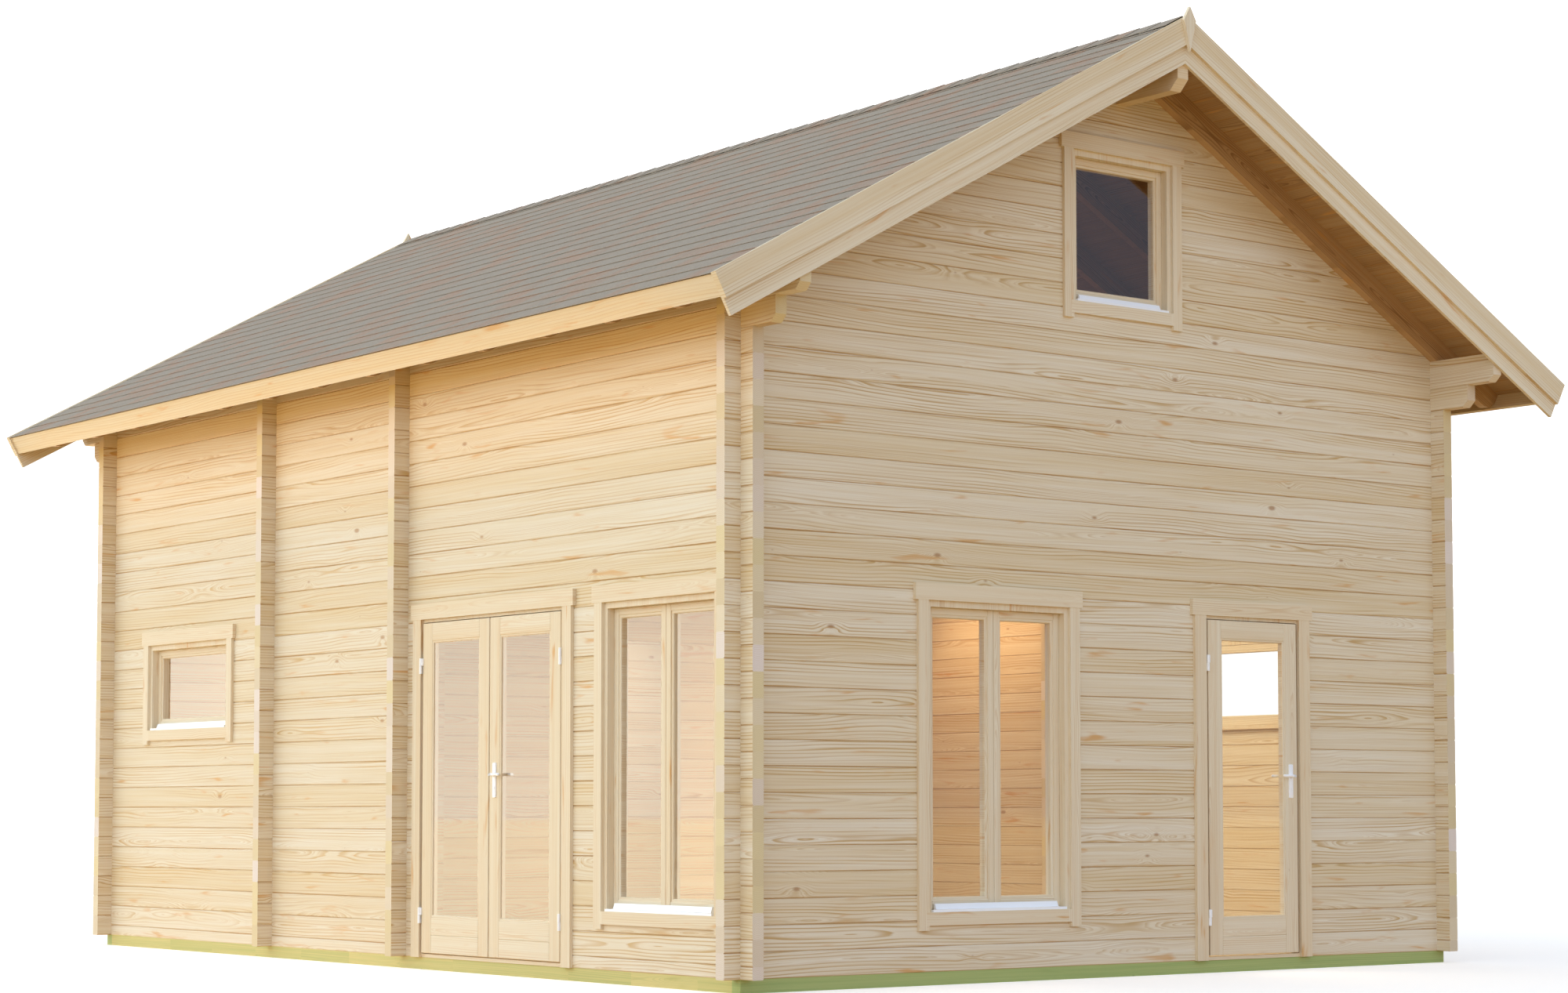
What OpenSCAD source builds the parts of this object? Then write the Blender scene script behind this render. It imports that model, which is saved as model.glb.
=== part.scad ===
// Holiday cottage of notched logs: one room and two small rooms below, a loft over them, a shingled
// gable roof on rafters, glazed doors in the front and left walls.
// x runs along the front gable, y from the front gable to the back, z up from the ground.

/* [Log walls] */
// Width over the outer faces of the side walls
house_w = 5300; // [5200:50:5600]
// Length over the outer faces of the gable walls
house_l = 7200; // [7100:50:7500]
// Thickness of a log
log_t = 70; // [66:1:74]
// Height of one course of logs
log_h = 133; // [130:1:136]
// How far a log end stands past the wall it crosses
log_end = 100; // [80:5:120]
// Depth of the V at each joint between two courses
joint_v = 5; // [3:0.5:7]
// Front face of the portal wall, from the front of the house
portal_y = 3227; // [3200:1:3260]
// Front face of the rear cross wall, from the front of the house
cross_y = 4851; // [4700:1:5000]
// Width of the short wall left at each side of the portal
portal_pier = 180; // [150:10:260]
// Reach of the lower and upper bracket logs under the gable overhang
bracket_reach = [286, 483]; // [200:1:490]
// Chamfer under the end of a bracket log
bracket_chamfer = 40; // [20:5:60]

/* [Base and floors] */
// Height of the treated sill beams
beam_h = 70; // [50:5:90]
// Width of the treated sill beams
beam_w = 70; // [60:5:90]
// Set-back of the sill beams from the wall faces
beam_inset = 5; // [2:1:20]
// Thickness of the floor boards
floor_t = 20; // [16:1:24]
// Thickness of the loft boards
loft_t = 28; // [20:1:32]

/* [Roof] */
// Pitch of the roof in degrees
roof_pitch = 28.75; // [26:0.25:31]
// Depth of a rafter, square to the slope
rafter_d = 134; // [120:1:150]
// Width of a rafter
rafter_w = 50; // [45:1:60]
// Number of bays between rafters
rafter_bays = 12; // [10:1:14]
// Radius of the round rafter tails
tail_r = 95; // [60:5:110]
// Thickness of the roof boards
board_t = 20; // [16:1:24]
// Thickness of the shingle layer
shingle_t = 10; // [6:1:14]
// Level reach of the eaves past a side wall
eaves_reach = 545; // [500:1:600]
// Reach of the gable overhang, to the front of the cover boards
gable_reach = 524; // [520:1:560]
// Thickness of the trim boards on the roof edge
edge_t = 20; // [16:1:24]
// Width of the inner bargeboard, square to the slope
barge_d = 227; // [200:1:250]
// Width of the cover board over it
cover_d = 137; // [120:1:150]
// Height of the fascia board
fascia_d = 119; // [100:1:140]
// Width of the ridge purlin
purlin_w = 80; // [70:1:100]
// Depth of the ridge purlin at its sides
purlin_d = 190; // [160:1:200]
// Chamfer under the ends of the ridge purlin
purlin_chamfer = 60; // [30:5:80]
// Width and height of the finial
finial_size = [90, 249]; // [60:1:260]

/* [Windows] */
// Centre of the tall front window, from the left wall
front_window_x = 1722; // [1700:1:1800]
// Centre of the tall left window, from the front wall
left_window_y = 698; // [690:1:760]
// Centre of the small left window, from the front wall
small_window_y = 6017; // [6000:1:6100]
// Centre of the small right window, from the front wall
right_window_y = 1507; // [1400:1:1600]
// Opening width of the tall, small and gable windows
window_w = [1032, 1140, 784]; // [700:1:1200]
// Width of the casing boards on windows
casing_w = 70; // [60:1:80]
// Width of the casing boards on doors
door_casing_w = 88; // [70:1:95]
// Thickness of the upright casing boards and of the header
casing_t = [20, 22]; // [16:1:32]
// Height of the header board
header_h = 90; // [70:1:110]

/* [Doors] */
// Left edge of the front door leaf, from the left wall
front_door_x = 3290; // [3270:1:3350]
// Width of the front door leaf
front_leaf_w = 721; // [700:1:740]
// Front edge of the near garden door leaf, from the front wall
garden_door_y = 1600; // [1590:1:1625]
// Width of each garden door leaf
garden_leaf_w = 712; // [690:1:715]
// Thickness of a door leaf
leaf_t = 40; // [38:1:42]
// Width of a leaf's stiles and top rail
leaf_stile = 115; // [100:1:125]
// Height of a leaf's double bottom rail
leaf_bottom = 218; // [190:1:240]

/* [Hidden] */

pale_log = "#ecd9b0";
pale_board = "#ead3a4";
treated_green = "#a9b06a";
shingle_brown = "#8f857f";
glass_tint = "#c9c0b4";
white_metal = "#f2f2f0";

// Cutters overshoot the piece by this much
slack = 2;
// Air left where two sloping faces meet
seat = 0.1;
// Whole courses in a side wall above its half log
courses = 26;
stub_top = courses * log_h;
wall_top = (courses + 0.5) * log_h;
// Top of every door and window opening in the lower storey
lintel = 15 * log_h;
// Joint at which the left wall is split over its doorway
left_split = 14.5 * log_h;
// Lintel logs of the portal, and the loft boards on them
portal_top = 17 * log_h;
loft_z = 19 * log_h;
bracket_z = [(courses - 1.5) * log_h, (courses - 0.5) * log_h];

pitch_tan = tan(roof_pitch);
rafter_n = [shingle_t + board_t, shingle_t + board_t + rafter_d];
roof_apex = wall_top + rafter_n[1] / cos(roof_pitch) + house_w / 2 * pitch_tan;
eaves_s = (house_w / 2 + eaves_reach) / cos(roof_pitch);
rafter_s = eaves_s - 12 - edge_t;
shingle_s = eaves_s - 4;
// Roof layers end behind the two gable boards
roof_y = [2 * edge_t - gable_reach, house_l + gable_reach - 2 * edge_t];
rafter_step = (house_l + rafter_w) / rafter_bays;
purlin_top = roof_apex - (rafter_n[1] + seat) / cos(roof_pitch);
purlin_shoulder = purlin_top - purlin_w / 2 * pitch_tan;

// Window parts, measured from the top of the bottom casing and the underside of the header
window_lap = 12;
frame_side = 41;
frame_foot = 24;
frame_head = 86;
frame_d = 102;
header_lap = 53;
casing_foot = 26;
bottom_casing_h = 69;
header_ear = 21;
sash_side = 56;
sash_rails = [64, 53];
sash_y = [42, 98];
pane_y = [76, 92];
sash_gap = 2;
tall_z = [310, lintel - header_lap];
small_z = [1376, lintel - header_lap];
gable_z = [3633, 4474];
rain_lip = [14, 13];
rain_leaf = [12, 30, 43];
rain_short = [30, 41];

// Door parts
jamb_w = 45;
jamb_gap = 6;
latch_gap = 8;
meeting_gap = 10;
leaf_z = [26, 1918];
leaf_y = [-14, -14 + leaf_t];
leaf_pane_y = [9, 21];
stop_y = leaf_y[1] + jamb_gap;
stop_w = 20;
casing_reveal = 12;
rail_joint_z = 128;
rail_groove = 3;
hinge_out = 9;
hinge_y = -24;
hinge_r = 8;
hinge_h = 45;
hinge_z = [195, 1628];
handle_plate = [40, 200, 8];
handle_z = 1040;
lever_len = 112;
lever_r = 9;
front_door_end = front_door_x + front_leaf_w;
garden_far_y = garden_door_y + garden_leaf_w + meeting_gap;
garden_door_end = garden_far_y + garden_leaf_w;
front_clear = [front_door_x - jamb_gap, front_door_end + latch_gap];
garden_clear = [garden_door_y - jamb_gap, garden_door_end + jamb_gap];

// Doorway in the rear cross wall
inner_door = [2250, 3050];
joist_w = 60;
joist_pitch = 600;
loft_joist = [45, 145];
loft_bays = 8;
hatch_bay = 5;
hatch_y = [3400, 4500];

// Puts a piece from the house's own corner onto the row's origin, under the middle of the house
module stand() {
  translate([-house_w / 2, -house_l / 2, beam_h]) children();
}

// The four walls: x along the wall, y inwards from its outer face
module on_left() {
  mirror([1, -1, 0]) children();
}

module on_right() {
  translate([house_w, 0, 0]) rotate([0, 0, 90]) children();
}

module on_back() {
  translate([house_w, house_l, 0]) rotate([0, 0, 180]) children();
}

// An outline drawn in x and z, drawn out from y0 to y1
module along_y(y0, y1) {
  translate([0, y1, 0]) rotate([90, 0, 0]) linear_extrude(y1 - y0) children();
}

// An outline drawn in y and z, drawn out from x0 to x1
module along_x(x0, x1) {
  translate([x0, 0, 0]) rotate([90, 0, 90]) linear_extrude(x1 - x0) children();
}

// A box between two corners
module block(low, high) {
  translate(low) cube(high - low);
}

// Log walls

// One face of a stack of logs from z0 to z1, with a V at each joint
function log_face(z0, z1, first) = concat(
  [[joint_v, z0], [0, z0 + joint_v]],
  [for (j = [first:log_h:z1]) if (j > z0 + log_h / 4 && j < z1 - log_h / 2)
    each [[0, j - joint_v], [joint_v, j], [0, j + joint_v]]],
  [[0, z1 - joint_v], [joint_v, z1]]
);

function log_outline(z0, z1, first) = let (face = log_face(z0, z1, first)) concat(
  face,
  [for (i = [len(face) - 1:-1:0]) [log_t - face[i][0], face[i][1]]]
);

// Half-height notches where the logs of a crossing wall pass through; phase 0 is at the joints of whole courses
module crossings(at, phase, last) {
  for (x = at)
    for (k = [0:last])
      translate([x, -slack, (k + phase - 0.25) * log_h])
        cube([log_t, log_t + 2 * slack, log_h / 2]);
}

// A stretch of gable or cross wall, which starts with a whole log
module gable_run(x0, x1, z0, z1) {
  difference() {
    along_x(x0, x1) polygon(log_outline(z0, z1, 0));
    crossings([0, house_w - log_t], 0, courses);
    if (z1 > stub_top) {
      for (x = [-log_end - slack, house_w])
        block([x, -slack, stub_top], [x + log_end + slack, log_t + slack, z1 + slack]);
      along_y(-slack, log_t + slack) above_boards();
      along_y(-slack, log_t + slack) purlin_section();
    }
  }
}

// A stretch of side wall, which starts with a half log so that its notches fall between the others
module side_run(x0, x1, z0, z1) {
  difference() {
    along_x(x0, x1) polygon(log_outline(z0, z1, log_h / 2));
    crossings([0, house_l - log_t], 0.5, courses);
    crossings([portal_y, cross_y], 0.5, courses - 1);
    if (z1 > wall_top) {
      along_y(-slack, log_t + slack) below_brackets();
      translate([house_l, 0, 0]) mirror([1, 0, 0]) along_y(-slack, log_t + slack) below_brackets();
      along_x(x0 - slack, x1 + slack) above_plate();
      for (x = [0, house_l - log_t])
        block([x, -slack, wall_top], [x + log_t, log_t + slack, z1 + slack]);
    }
  }
}

// What is cut away under the two stepped bracket logs at one end of a side wall
module below_brackets() {
  out = -bracket_reach[1] - slack;
  polygon([
    [out, -slack], [-log_end, -slack], [-log_end, bracket_z[0]],
    [bracket_chamfer - bracket_reach[0], bracket_z[0]], [-bracket_reach[0], bracket_z[0] + bracket_chamfer],
    [-bracket_reach[0], bracket_z[1]],
    [bracket_chamfer - bracket_reach[1], bracket_z[1]], [-bracket_reach[1], bracket_z[1] + bracket_chamfer],
    [out, bracket_z[1] + bracket_chamfer]
  ]);
}

// What is cut away over the top log of a side wall, which is planed to the rafters' slope
module above_plate() {
  high = wall_top + log_h;
  low = wall_top - seat;
  polygon([
    [-slack, low - slack * pitch_tan], [log_t + slack, low + (log_t + slack) * pitch_tan],
    [log_t + slack, high], [-slack, high]
  ]);
}

// A window or door opening cut through a wall
module opening(x, z) {
  block([x[0], -slack, z[0]], [x[1], log_t + slack, z[1]]);
}

function window_span(centre, w) = [centre - w / 2, centre + w / 2];
function window_rise(z) = [z[0] - window_lap, z[1] + header_lap];
function door_span(clear) = [clear[0] - jamb_w, clear[1] + jamb_w];
side_top = wall_top + log_t * pitch_tan + slack;
doorway_z = [-slack, lintel];

module front_wall_left() {
  color(pale_log) stand() difference() {
    gable_run(-log_end, door_span(front_clear)[0], 0, lintel);
    opening(window_span(front_window_x, window_w[0]), window_rise(tall_z) + [0, slack]);
  }
}

module front_wall_right() {
  color(pale_log) stand() gable_run(door_span(front_clear)[1], house_w + log_end, 0, lintel);
}

module front_wall_upper() {
  color(pale_log) stand() difference() {
    gable_run(-log_end, house_w + log_end, lintel, roof_apex);
    opening(window_span(house_w / 2, window_w[2]), window_rise(gable_z));
  }
}

module left_wall_front() {
  color(pale_log) stand() on_left() difference() {
    side_run(-log_end, door_span(garden_clear)[0], 0, left_split);
    opening(window_span(left_window_y, window_w[0]), window_rise(tall_z));
  }
}

module left_wall_rear() {
  color(pale_log) stand() on_left() difference() {
    side_run(door_span(garden_clear)[1], house_l + log_end, 0, left_split);
    opening(window_span(small_window_y, window_w[1]), window_rise(small_z));
  }
}

module left_wall_upper() {
  color(pale_log) stand() on_left() difference() {
    side_run(-bracket_reach[1], house_l + bracket_reach[1], left_split, side_top);
    opening(window_span(left_window_y, window_w[0]), window_rise(tall_z));
    opening(window_span(small_window_y, window_w[1]), window_rise(small_z));
    opening(door_span(garden_clear), doorway_z);
  }
}

module right_wall() {
  color(pale_log) stand() on_right() difference() {
    side_run(-bracket_reach[1], house_l + bracket_reach[1], 0, side_top);
    opening(window_span(right_window_y, window_w[1]), window_rise(small_z));
  }
}

module back_wall() {
  color(pale_log) stand() on_back() difference() {
    gable_run(-log_end, house_w + log_end, 0, roof_apex);
    opening(window_span(house_w / 2, window_w[2]), window_rise(gable_z));
  }
}

// Clear width between the short piers of the two inner walls
pier_span = [log_t + portal_pier, house_w - log_t - portal_pier];

module portal_wall() {
  color(pale_log) stand() translate([0, portal_y, 0]) difference() {
    gable_run(-log_end, house_w + log_end, 0, stub_top);
    opening(pier_span, [-slack, portal_top]);
    opening(pier_span, [loft_z, stub_top + slack]);
  }
}

module cross_wall() {
  color(pale_log) stand() translate([0, cross_y, 0]) difference() {
    gable_run(-log_end, house_w + log_end, 0, stub_top);
    opening(inner_door, doorway_z);
    opening(pier_span, [loft_z, stub_top + slack]);
  }
}

// Base and floors

module sill_beams_short() {
  color(treated_green) stand() for (y = [beam_inset, house_l - beam_inset - beam_w])
    block([beam_inset, y, -beam_h], [house_w - beam_inset, y + beam_w, 0]);
}

module sill_beams_long() {
  inner = beam_inset + beam_w;
  color(treated_green) stand() for (x = [beam_inset, house_w - beam_inset - beam_w])
    block([x, inner, -beam_h], [x + beam_w, house_l - inner, 0]);
}

// Joists between y0 and y1, at most one joist pitch apart
module joist_row(y0, y1) {
  inner = beam_inset + beam_w;
  count = ceil((y1 - y0) / joist_pitch);
  for (i = [1:count - 1]) {
    y = y0 + i * (y1 - y0) / count - joist_w / 2;
    block([inner, y, -beam_h], [house_w - inner, y + joist_w, 0]);
  }
}

module floor_joists() {
  inner = beam_inset + beam_w;
  color(treated_green) stand() {
    joist_row(inner, portal_y);
    joist_row(portal_y + log_t, cross_y);
    joist_row(cross_y + log_t, house_l - inner);
    for (y = [portal_y, cross_y])
      block([inner, y, -beam_h], [house_w - inner, y + log_t, 0]);
  }
}

// A floor over the inside of the house from y0, cut round the two inner walls
module boarded_floor(y0, z0, t, cross_gap) {
  difference() {
    block([log_t, y0, z0], [house_w - log_t, house_l - log_t, z0 + t]);
    around_piers(portal_y, pier_span, z0, t);
    around_piers(cross_y, cross_gap, z0, t);
  }
}

module around_piers(y, gap, z0, t) {
  block([0, y, z0 - slack], [gap[0], y + log_t, z0 + t + slack]);
  block([gap[1], y, z0 - slack], [house_w, y + log_t, z0 + t + slack]);
}

module floor_boards() {
  color(pale_board) stand() boarded_floor(log_t, 0, floor_t, inner_door);
}

// Loft boards over all the rooms, on joists between the log walls, with a hatch between two joists
module loft_floor() {
  rooms = [[log_t, portal_y], [portal_y + log_t, cross_y], [cross_y + log_t, house_l - log_t]];
  step = (house_w - 2 * log_t) / loft_bays;
  hatch_x = log_t + hatch_bay * step + loft_joist[0] / 2;
  color(pale_board) stand() {
    difference() {
      boarded_floor(log_t, loft_z, loft_t, pier_span);
      block([hatch_x, hatch_y[0], loft_z - slack],
            [hatch_x + step - loft_joist[0], hatch_y[1], loft_z + loft_t + slack]);
    }
    for (room = rooms, i = [1:loft_bays - 1])
      translate([log_t + i * step - loft_joist[0] / 2, room[0], loft_z - loft_joist[1]])
        cube([loft_joist[0], room[1] - room[0], loft_joist[1]]);
  }
}

// Roof

// A point s down the slope from the ridge and n square below the shingles; side is 1 right, -1 left
function roof_pt(s, n, side) = [
  house_w / 2 + side * (s * cos(roof_pitch) - n * sin(roof_pitch)),
  roof_apex - s * sin(roof_pitch) - n * cos(roof_pitch)
];

// The point of a layer on the ridge line
function ridge_pt(n) = roof_pt(n * pitch_tan, n, 1);

// A layer of one slope between two depths, ending square to the slope
module slope_layer(n0, n1, s_end, side) {
  polygon([ridge_pt(n0), roof_pt(s_end, n0, side), roof_pt(s_end, n1, side), ridge_pt(n1)]);
}

// The same layer over both slopes, joined at the ridge
module gable_layer(n0, n1, s_end) {
  polygon([
    ridge_pt(n0), roof_pt(s_end, n0, 1), roof_pt(s_end, n1, 1),
    ridge_pt(n1), roof_pt(s_end, n1, -1), roof_pt(s_end, n0, -1)
  ]);
}

// Everything over the underside of the roof boards
module above_boards() {
  n = rafter_n[0] + seat;
  high = roof_apex + log_h;
  polygon([
    ridge_pt(n), roof_pt(eaves_s, n, 1), [house_w + eaves_reach, high],
    [-eaves_reach, high], roof_pt(eaves_s, n, -1)
  ]);
}

// The ridge purlin's section, with a top that fits the rafters
module purlin_section() {
  c = house_w / 2;
  foot = purlin_shoulder - purlin_d;
  polygon([
    [c - purlin_w / 2, foot], [c + purlin_w / 2, foot], [c + purlin_w / 2, purlin_shoulder],
    [c, purlin_top], [c - purlin_w / 2, purlin_shoulder]
  ]);
}

module ridge_purlin() {
  foot = purlin_shoulder - purlin_d;
  x = [house_w / 2 - purlin_w, house_w / 2 + purlin_w];
  color(pale_board) stand() difference() {
    along_y(roof_y[0], roof_y[1]) purlin_section();
    along_x(x[0], x[1]) polygon([
      [roof_y[0] - slack, foot - slack], [roof_y[0] + purlin_chamfer, foot - slack],
      [roof_y[0] + purlin_chamfer, foot], [roof_y[0], foot + purlin_chamfer],
      [roof_y[0] - slack, foot + purlin_chamfer]
    ]);
    along_x(x[0], x[1]) polygon([
      [roof_y[1] + slack, foot - slack], [roof_y[1] - purlin_chamfer, foot - slack],
      [roof_y[1] - purlin_chamfer, foot], [roof_y[1], foot + purlin_chamfer],
      [roof_y[1] + slack, foot + purlin_chamfer]
    ]);
  }
}

// The rounded underside of a rafter tail, from the end of the rafter inwards
function tail(side, steps = 6) = [for (i = [0:steps]) let (a = 90 - 90 * i / steps)
  roof_pt(rafter_s - tail_r + tail_r * sin(a), rafter_n[1] - tail_r + tail_r * cos(a), side)];

function reversed(points) = [for (i = [len(points) - 1:-1:0]) points[i]];

module rafters() {
  top = rafter_n[0] + seat;
  color(pale_board) stand() for (i = [0:rafter_bays]) {
    y = i * rafter_step - rafter_w;
    along_y(y, y + rafter_w) polygon(concat(
      [ridge_pt(top), roof_pt(rafter_s, top, 1)], tail(1),
      [ridge_pt(rafter_n[1])], reversed(tail(-1)), [roof_pt(rafter_s, top, -1)]
    ));
  }
}

// Height of the slope's line at depth n, x in from a side wall's face
function slope_z(x, n) = roof_apex - n / cos(roof_pitch) - (house_w / 2 - x) * pitch_tan;

// Boards that close each bay between the rafters over the side walls
module eaves_boards() {
  n = [rafter_n[0] + seat, rafter_n[1]];
  section = [
    [0, slope_z(0, n[1])], [floor_t, slope_z(floor_t, n[1])],
    [floor_t, slope_z(floor_t, n[0])], [0, slope_z(0, n[0])]
  ];
  color(pale_board) stand() for (i = [0:rafter_bays - 1]) {
    y0 = max(i * rafter_step, log_t) + seat;
    y1 = min((i + 1) * rafter_step - rafter_w, house_l - log_t) - seat;
    along_y(y0, y1) polygon(section);
    along_y(y0, y1) polygon([for (p = section) [house_w - p[0], p[1]]]);
  }
}

module roof_boards(side) {
  along_y(roof_y[0], roof_y[1]) slope_layer(shingle_t + seat, rafter_n[0], rafter_s, side);
}

module left_roof_boards() {
  color(pale_board) stand() roof_boards(-1);
}

module right_roof_boards() {
  color(pale_board) stand() roof_boards(1);
}

module left_shingles() {
  color(shingle_brown) stand() along_y(roof_y[0], roof_y[1]) slope_layer(0, shingle_t, shingle_s, -1);
}

module right_shingles() {
  color(shingle_brown) stand() along_y(roof_y[0], roof_y[1]) slope_layer(0, shingle_t, shingle_s, 1);
}

module fascias() {
  n = [shingle_t + seat, shingle_t + fascia_d];
  s = [rafter_s + seat, rafter_s + edge_t];
  color(pale_board) stand() for (side = [-1, 1])
    along_y(roof_y[0], roof_y[1]) polygon([
      roof_pt(s[0], n[0], side), roof_pt(s[1], n[0], side), roof_pt(s[1], n[1], side), roof_pt(s[0], n[1], side)
    ]);
}

module bargeboards() {
  color(pale_board) stand() for (y = [roof_y[0] - edge_t, roof_y[1]])
    along_y(y, y + edge_t) gable_layer(0, barge_d, eaves_s);
}

module cover_boards() {
  color(pale_board) stand() for (y = [roof_y[0] - 2 * edge_t, roof_y[1] + edge_t])
    along_y(y, y + edge_t) gable_layer(-3, cover_d, eaves_s);
}

module finials() {
  tip = roof_apex + 49;
  wide = tip - 0.31 * finial_size[1];
  c = house_w / 2;
  color(pale_board) stand() for (y = [-gable_reach - edge_t, house_l + gable_reach])
    along_y(y, y + edge_t) polygon([
      [c, tip], [c + finial_size[0] / 2, wide], [c, tip - finial_size[1]], [c - finial_size[0] / 2, wide]
    ]);
}

// Windows

// Upright casings with ears below, a bottom casing between them and a longer, prouder header
module casing(span, z, w, foot_z) {
  for (x = [span[0] - w, span[1]])
    block([x, -casing_t[0], foot_z], [x + w, 0, z[1]]);
  block([span[0] - w - header_ear, -casing_t[1], z[1]], [span[1] + w + header_ear, 0, z[1] + header_h]);
}

// A box frame in the wall, with its casing; z is the clear height between bottom casing and header
module window_frame(centre, w, z) {
  span = window_span(centre, w);
  rise = window_rise(z);
  inner = [span[0] + window_lap, span[1] - window_lap];
  difference() {
    block([span[0], 0, rise[0]], [span[1], frame_d, rise[1]]);
    block([span[0] + frame_side, -slack, rise[0] + frame_foot],
          [span[1] - frame_side, frame_d + slack, rise[1] - frame_head]);
  }
  casing(inner, z, casing_w, z[0] - bottom_casing_h - casing_foot);
  block([inner[0], -casing_t[0], z[0] - bottom_casing_h], [inner[1], 0, z[0]]);
}

// Outline of one sash: left, right, bottom and top
function sash_box(centre, w, z, count, i) = let (
  x0 = centre - w / 2 + frame_side,
  each_w = (w - 2 * frame_side - (count - 1) * sash_gap) / count
) [x0 + i * (each_w + sash_gap), x0 + i * (each_w + sash_gap) + each_w,
   z[0] - window_lap + frame_foot, z[1] + header_lap - frame_head];

module sashes(centre, w, z, count) {
  for (i = [0:count - 1]) {
    s = sash_box(centre, w, z, count, i);
    difference() {
      block([s[0], sash_y[0], s[2]], [s[1], sash_y[1], s[3]]);
      block([s[0] + sash_side, 0, s[2] + sash_rails[0]], [s[1] - sash_side, frame_d, s[3] - sash_rails[1]]);
    }
  }
}

module panes(centre, w, z, count) {
  for (i = [0:count - 1]) {
    s = sash_box(centre, w, z, count, i);
    block([s[0] + sash_side, pane_y[0], s[2] + sash_rails[0]],
          [s[1] - sash_side, pane_y[1], s[3] - sash_rails[1]]);
  }
}

// A white rain rail: a lip over the bottom casing, and a steep leaf on the frame's foot before the sash
module white_sill(centre, w, z) {
  foot = z[0] - window_lap + frame_foot;
  lip_top = z[0] + rain_lip[1];
  lip = w / 2 - window_lap - rain_short[0];
  leaf = w / 2 - frame_side - rain_short[1];
  along_x(centre - lip, centre + lip) polygon([
    [-rain_lip[0], z[0]], [0, z[0]], [0, lip_top], [-rain_lip[0], lip_top]
  ]);
  along_x(centre - leaf, centre + leaf) polygon([
    [-slack, foot - slack], [0, foot - slack], [0, foot], [rain_leaf[1], foot],
    [rain_leaf[1], z[0] + rain_leaf[2]], [rain_leaf[1] - 8, z[0] + rain_leaf[2]],
    [rain_leaf[0], lip_top + slack], [-slack, lip_top]
  ]);
}

module tall_window_frames() {
  color(pale_board) stand() {
    window_frame(front_window_x, window_w[0], tall_z);
    on_left() window_frame(left_window_y, window_w[0], tall_z);
  }
}

module small_window_frames() {
  color(pale_board) stand() {
    on_left() window_frame(small_window_y, window_w[1], small_z);
    on_right() window_frame(right_window_y, window_w[1], small_z);
  }
}

module gable_window_frames() {
  color(pale_board) stand() {
    window_frame(house_w / 2, window_w[2], gable_z);
    on_back() window_frame(house_w / 2, window_w[2], gable_z);
  }
}

module window_sashes() {
  color(pale_board) stand() {
    sashes(front_window_x, window_w[0], tall_z, 2);
    sashes(house_w / 2, window_w[2], gable_z, 1);
    on_back() sashes(house_w / 2, window_w[2], gable_z, 1);
    on_left() sashes(left_window_y, window_w[0], tall_z, 2);
    on_left() sashes(small_window_y, window_w[1], small_z, 1);
    on_right() sashes(right_window_y, window_w[1], small_z, 1);
  }
}

module window_panes() {
  color(glass_tint, 0.4) stand() {
    panes(front_window_x, window_w[0], tall_z, 2);
    panes(house_w / 2, window_w[2], gable_z, 1);
    on_back() panes(house_w / 2, window_w[2], gable_z, 1);
    on_left() panes(left_window_y, window_w[0], tall_z, 2);
    on_left() panes(small_window_y, window_w[1], small_z, 1);
    on_right() panes(right_window_y, window_w[1], small_z, 1);
  }
}

module window_sills() {
  color(white_metal) stand() {
    white_sill(front_window_x, window_w[0], tall_z);
    white_sill(house_w / 2, window_w[2], gable_z);
    on_back() white_sill(house_w / 2, window_w[2], gable_z);
    on_left() white_sill(left_window_y, window_w[0], tall_z);
    on_left() white_sill(small_window_y, window_w[1], small_z);
    on_right() white_sill(right_window_y, window_w[1], small_z);
  }
}

// Doors

// Jambs, head and threshold with a stop behind the leaf, and casings outside
module door_frame(clear) {
  head = leaf_z[1] + jamb_gap;
  foot = leaf_z[0] - jamb_gap;
  difference() {
    block([clear[0] - jamb_w, 0, 0], [clear[1] + jamb_w, log_t, lintel]);
    block([clear[0], -slack, foot], [clear[1], stop_y, head]);
    block([clear[0] + stop_w, -slack, foot], [clear[1] - stop_w, log_t + slack, head - stop_w]);
  }
  casing([clear[0] - casing_reveal, clear[1] + casing_reveal], [0, lintel - header_lap], door_casing_w, 0);
}

// One half of a hinge at the joint's axis: a barrel, and an arm back to what carries it
module hinge_half(axis_x, z, arm) {
  translate([axis_x, hinge_y, z]) cylinder(r = hinge_r, h = hinge_h, $fn = 32);
  block([arm[0], hinge_y, z], [arm[1], arm[2], z + hinge_h]);
}

// A framed leaf with one glass opening and a groove at the joint of its two bottom rails;
// x0 is the hinge side, and hand is 1 for a leaf that runs towards +x from there
module door_leaf(x0, w, hand) {
  translate([x0, 0, 0]) mirror([hand < 0 ? 1 : 0, 0, 0]) {
    difference() {
      block([0, leaf_y[0], leaf_z[0]], [w, leaf_y[1], leaf_z[1]]);
      block([leaf_stile, leaf_y[0] - slack, leaf_z[0] + leaf_bottom],
            [w - leaf_stile, leaf_y[1] + slack, leaf_z[1] - leaf_stile]);
      block([leaf_stile, leaf_y[0] - slack, rail_joint_z],
            [w - leaf_stile, leaf_y[0] + rail_groove, rail_joint_z + rail_groove]);
    }
    for (z = hinge_z)
      hinge_half(-hinge_out, z + hinge_h + 0.5, [-6, hinge_r, leaf_y[0]]);
  }
}

module leaf_pane(x0, w, hand) {
  translate([x0, 0, 0]) mirror([hand < 0 ? 1 : 0, 0, 0])
    block([leaf_stile, leaf_pane_y[0], leaf_z[0] + leaf_bottom],
          [w - leaf_stile, leaf_pane_y[1], leaf_z[1] - leaf_stile]);
}

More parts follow.
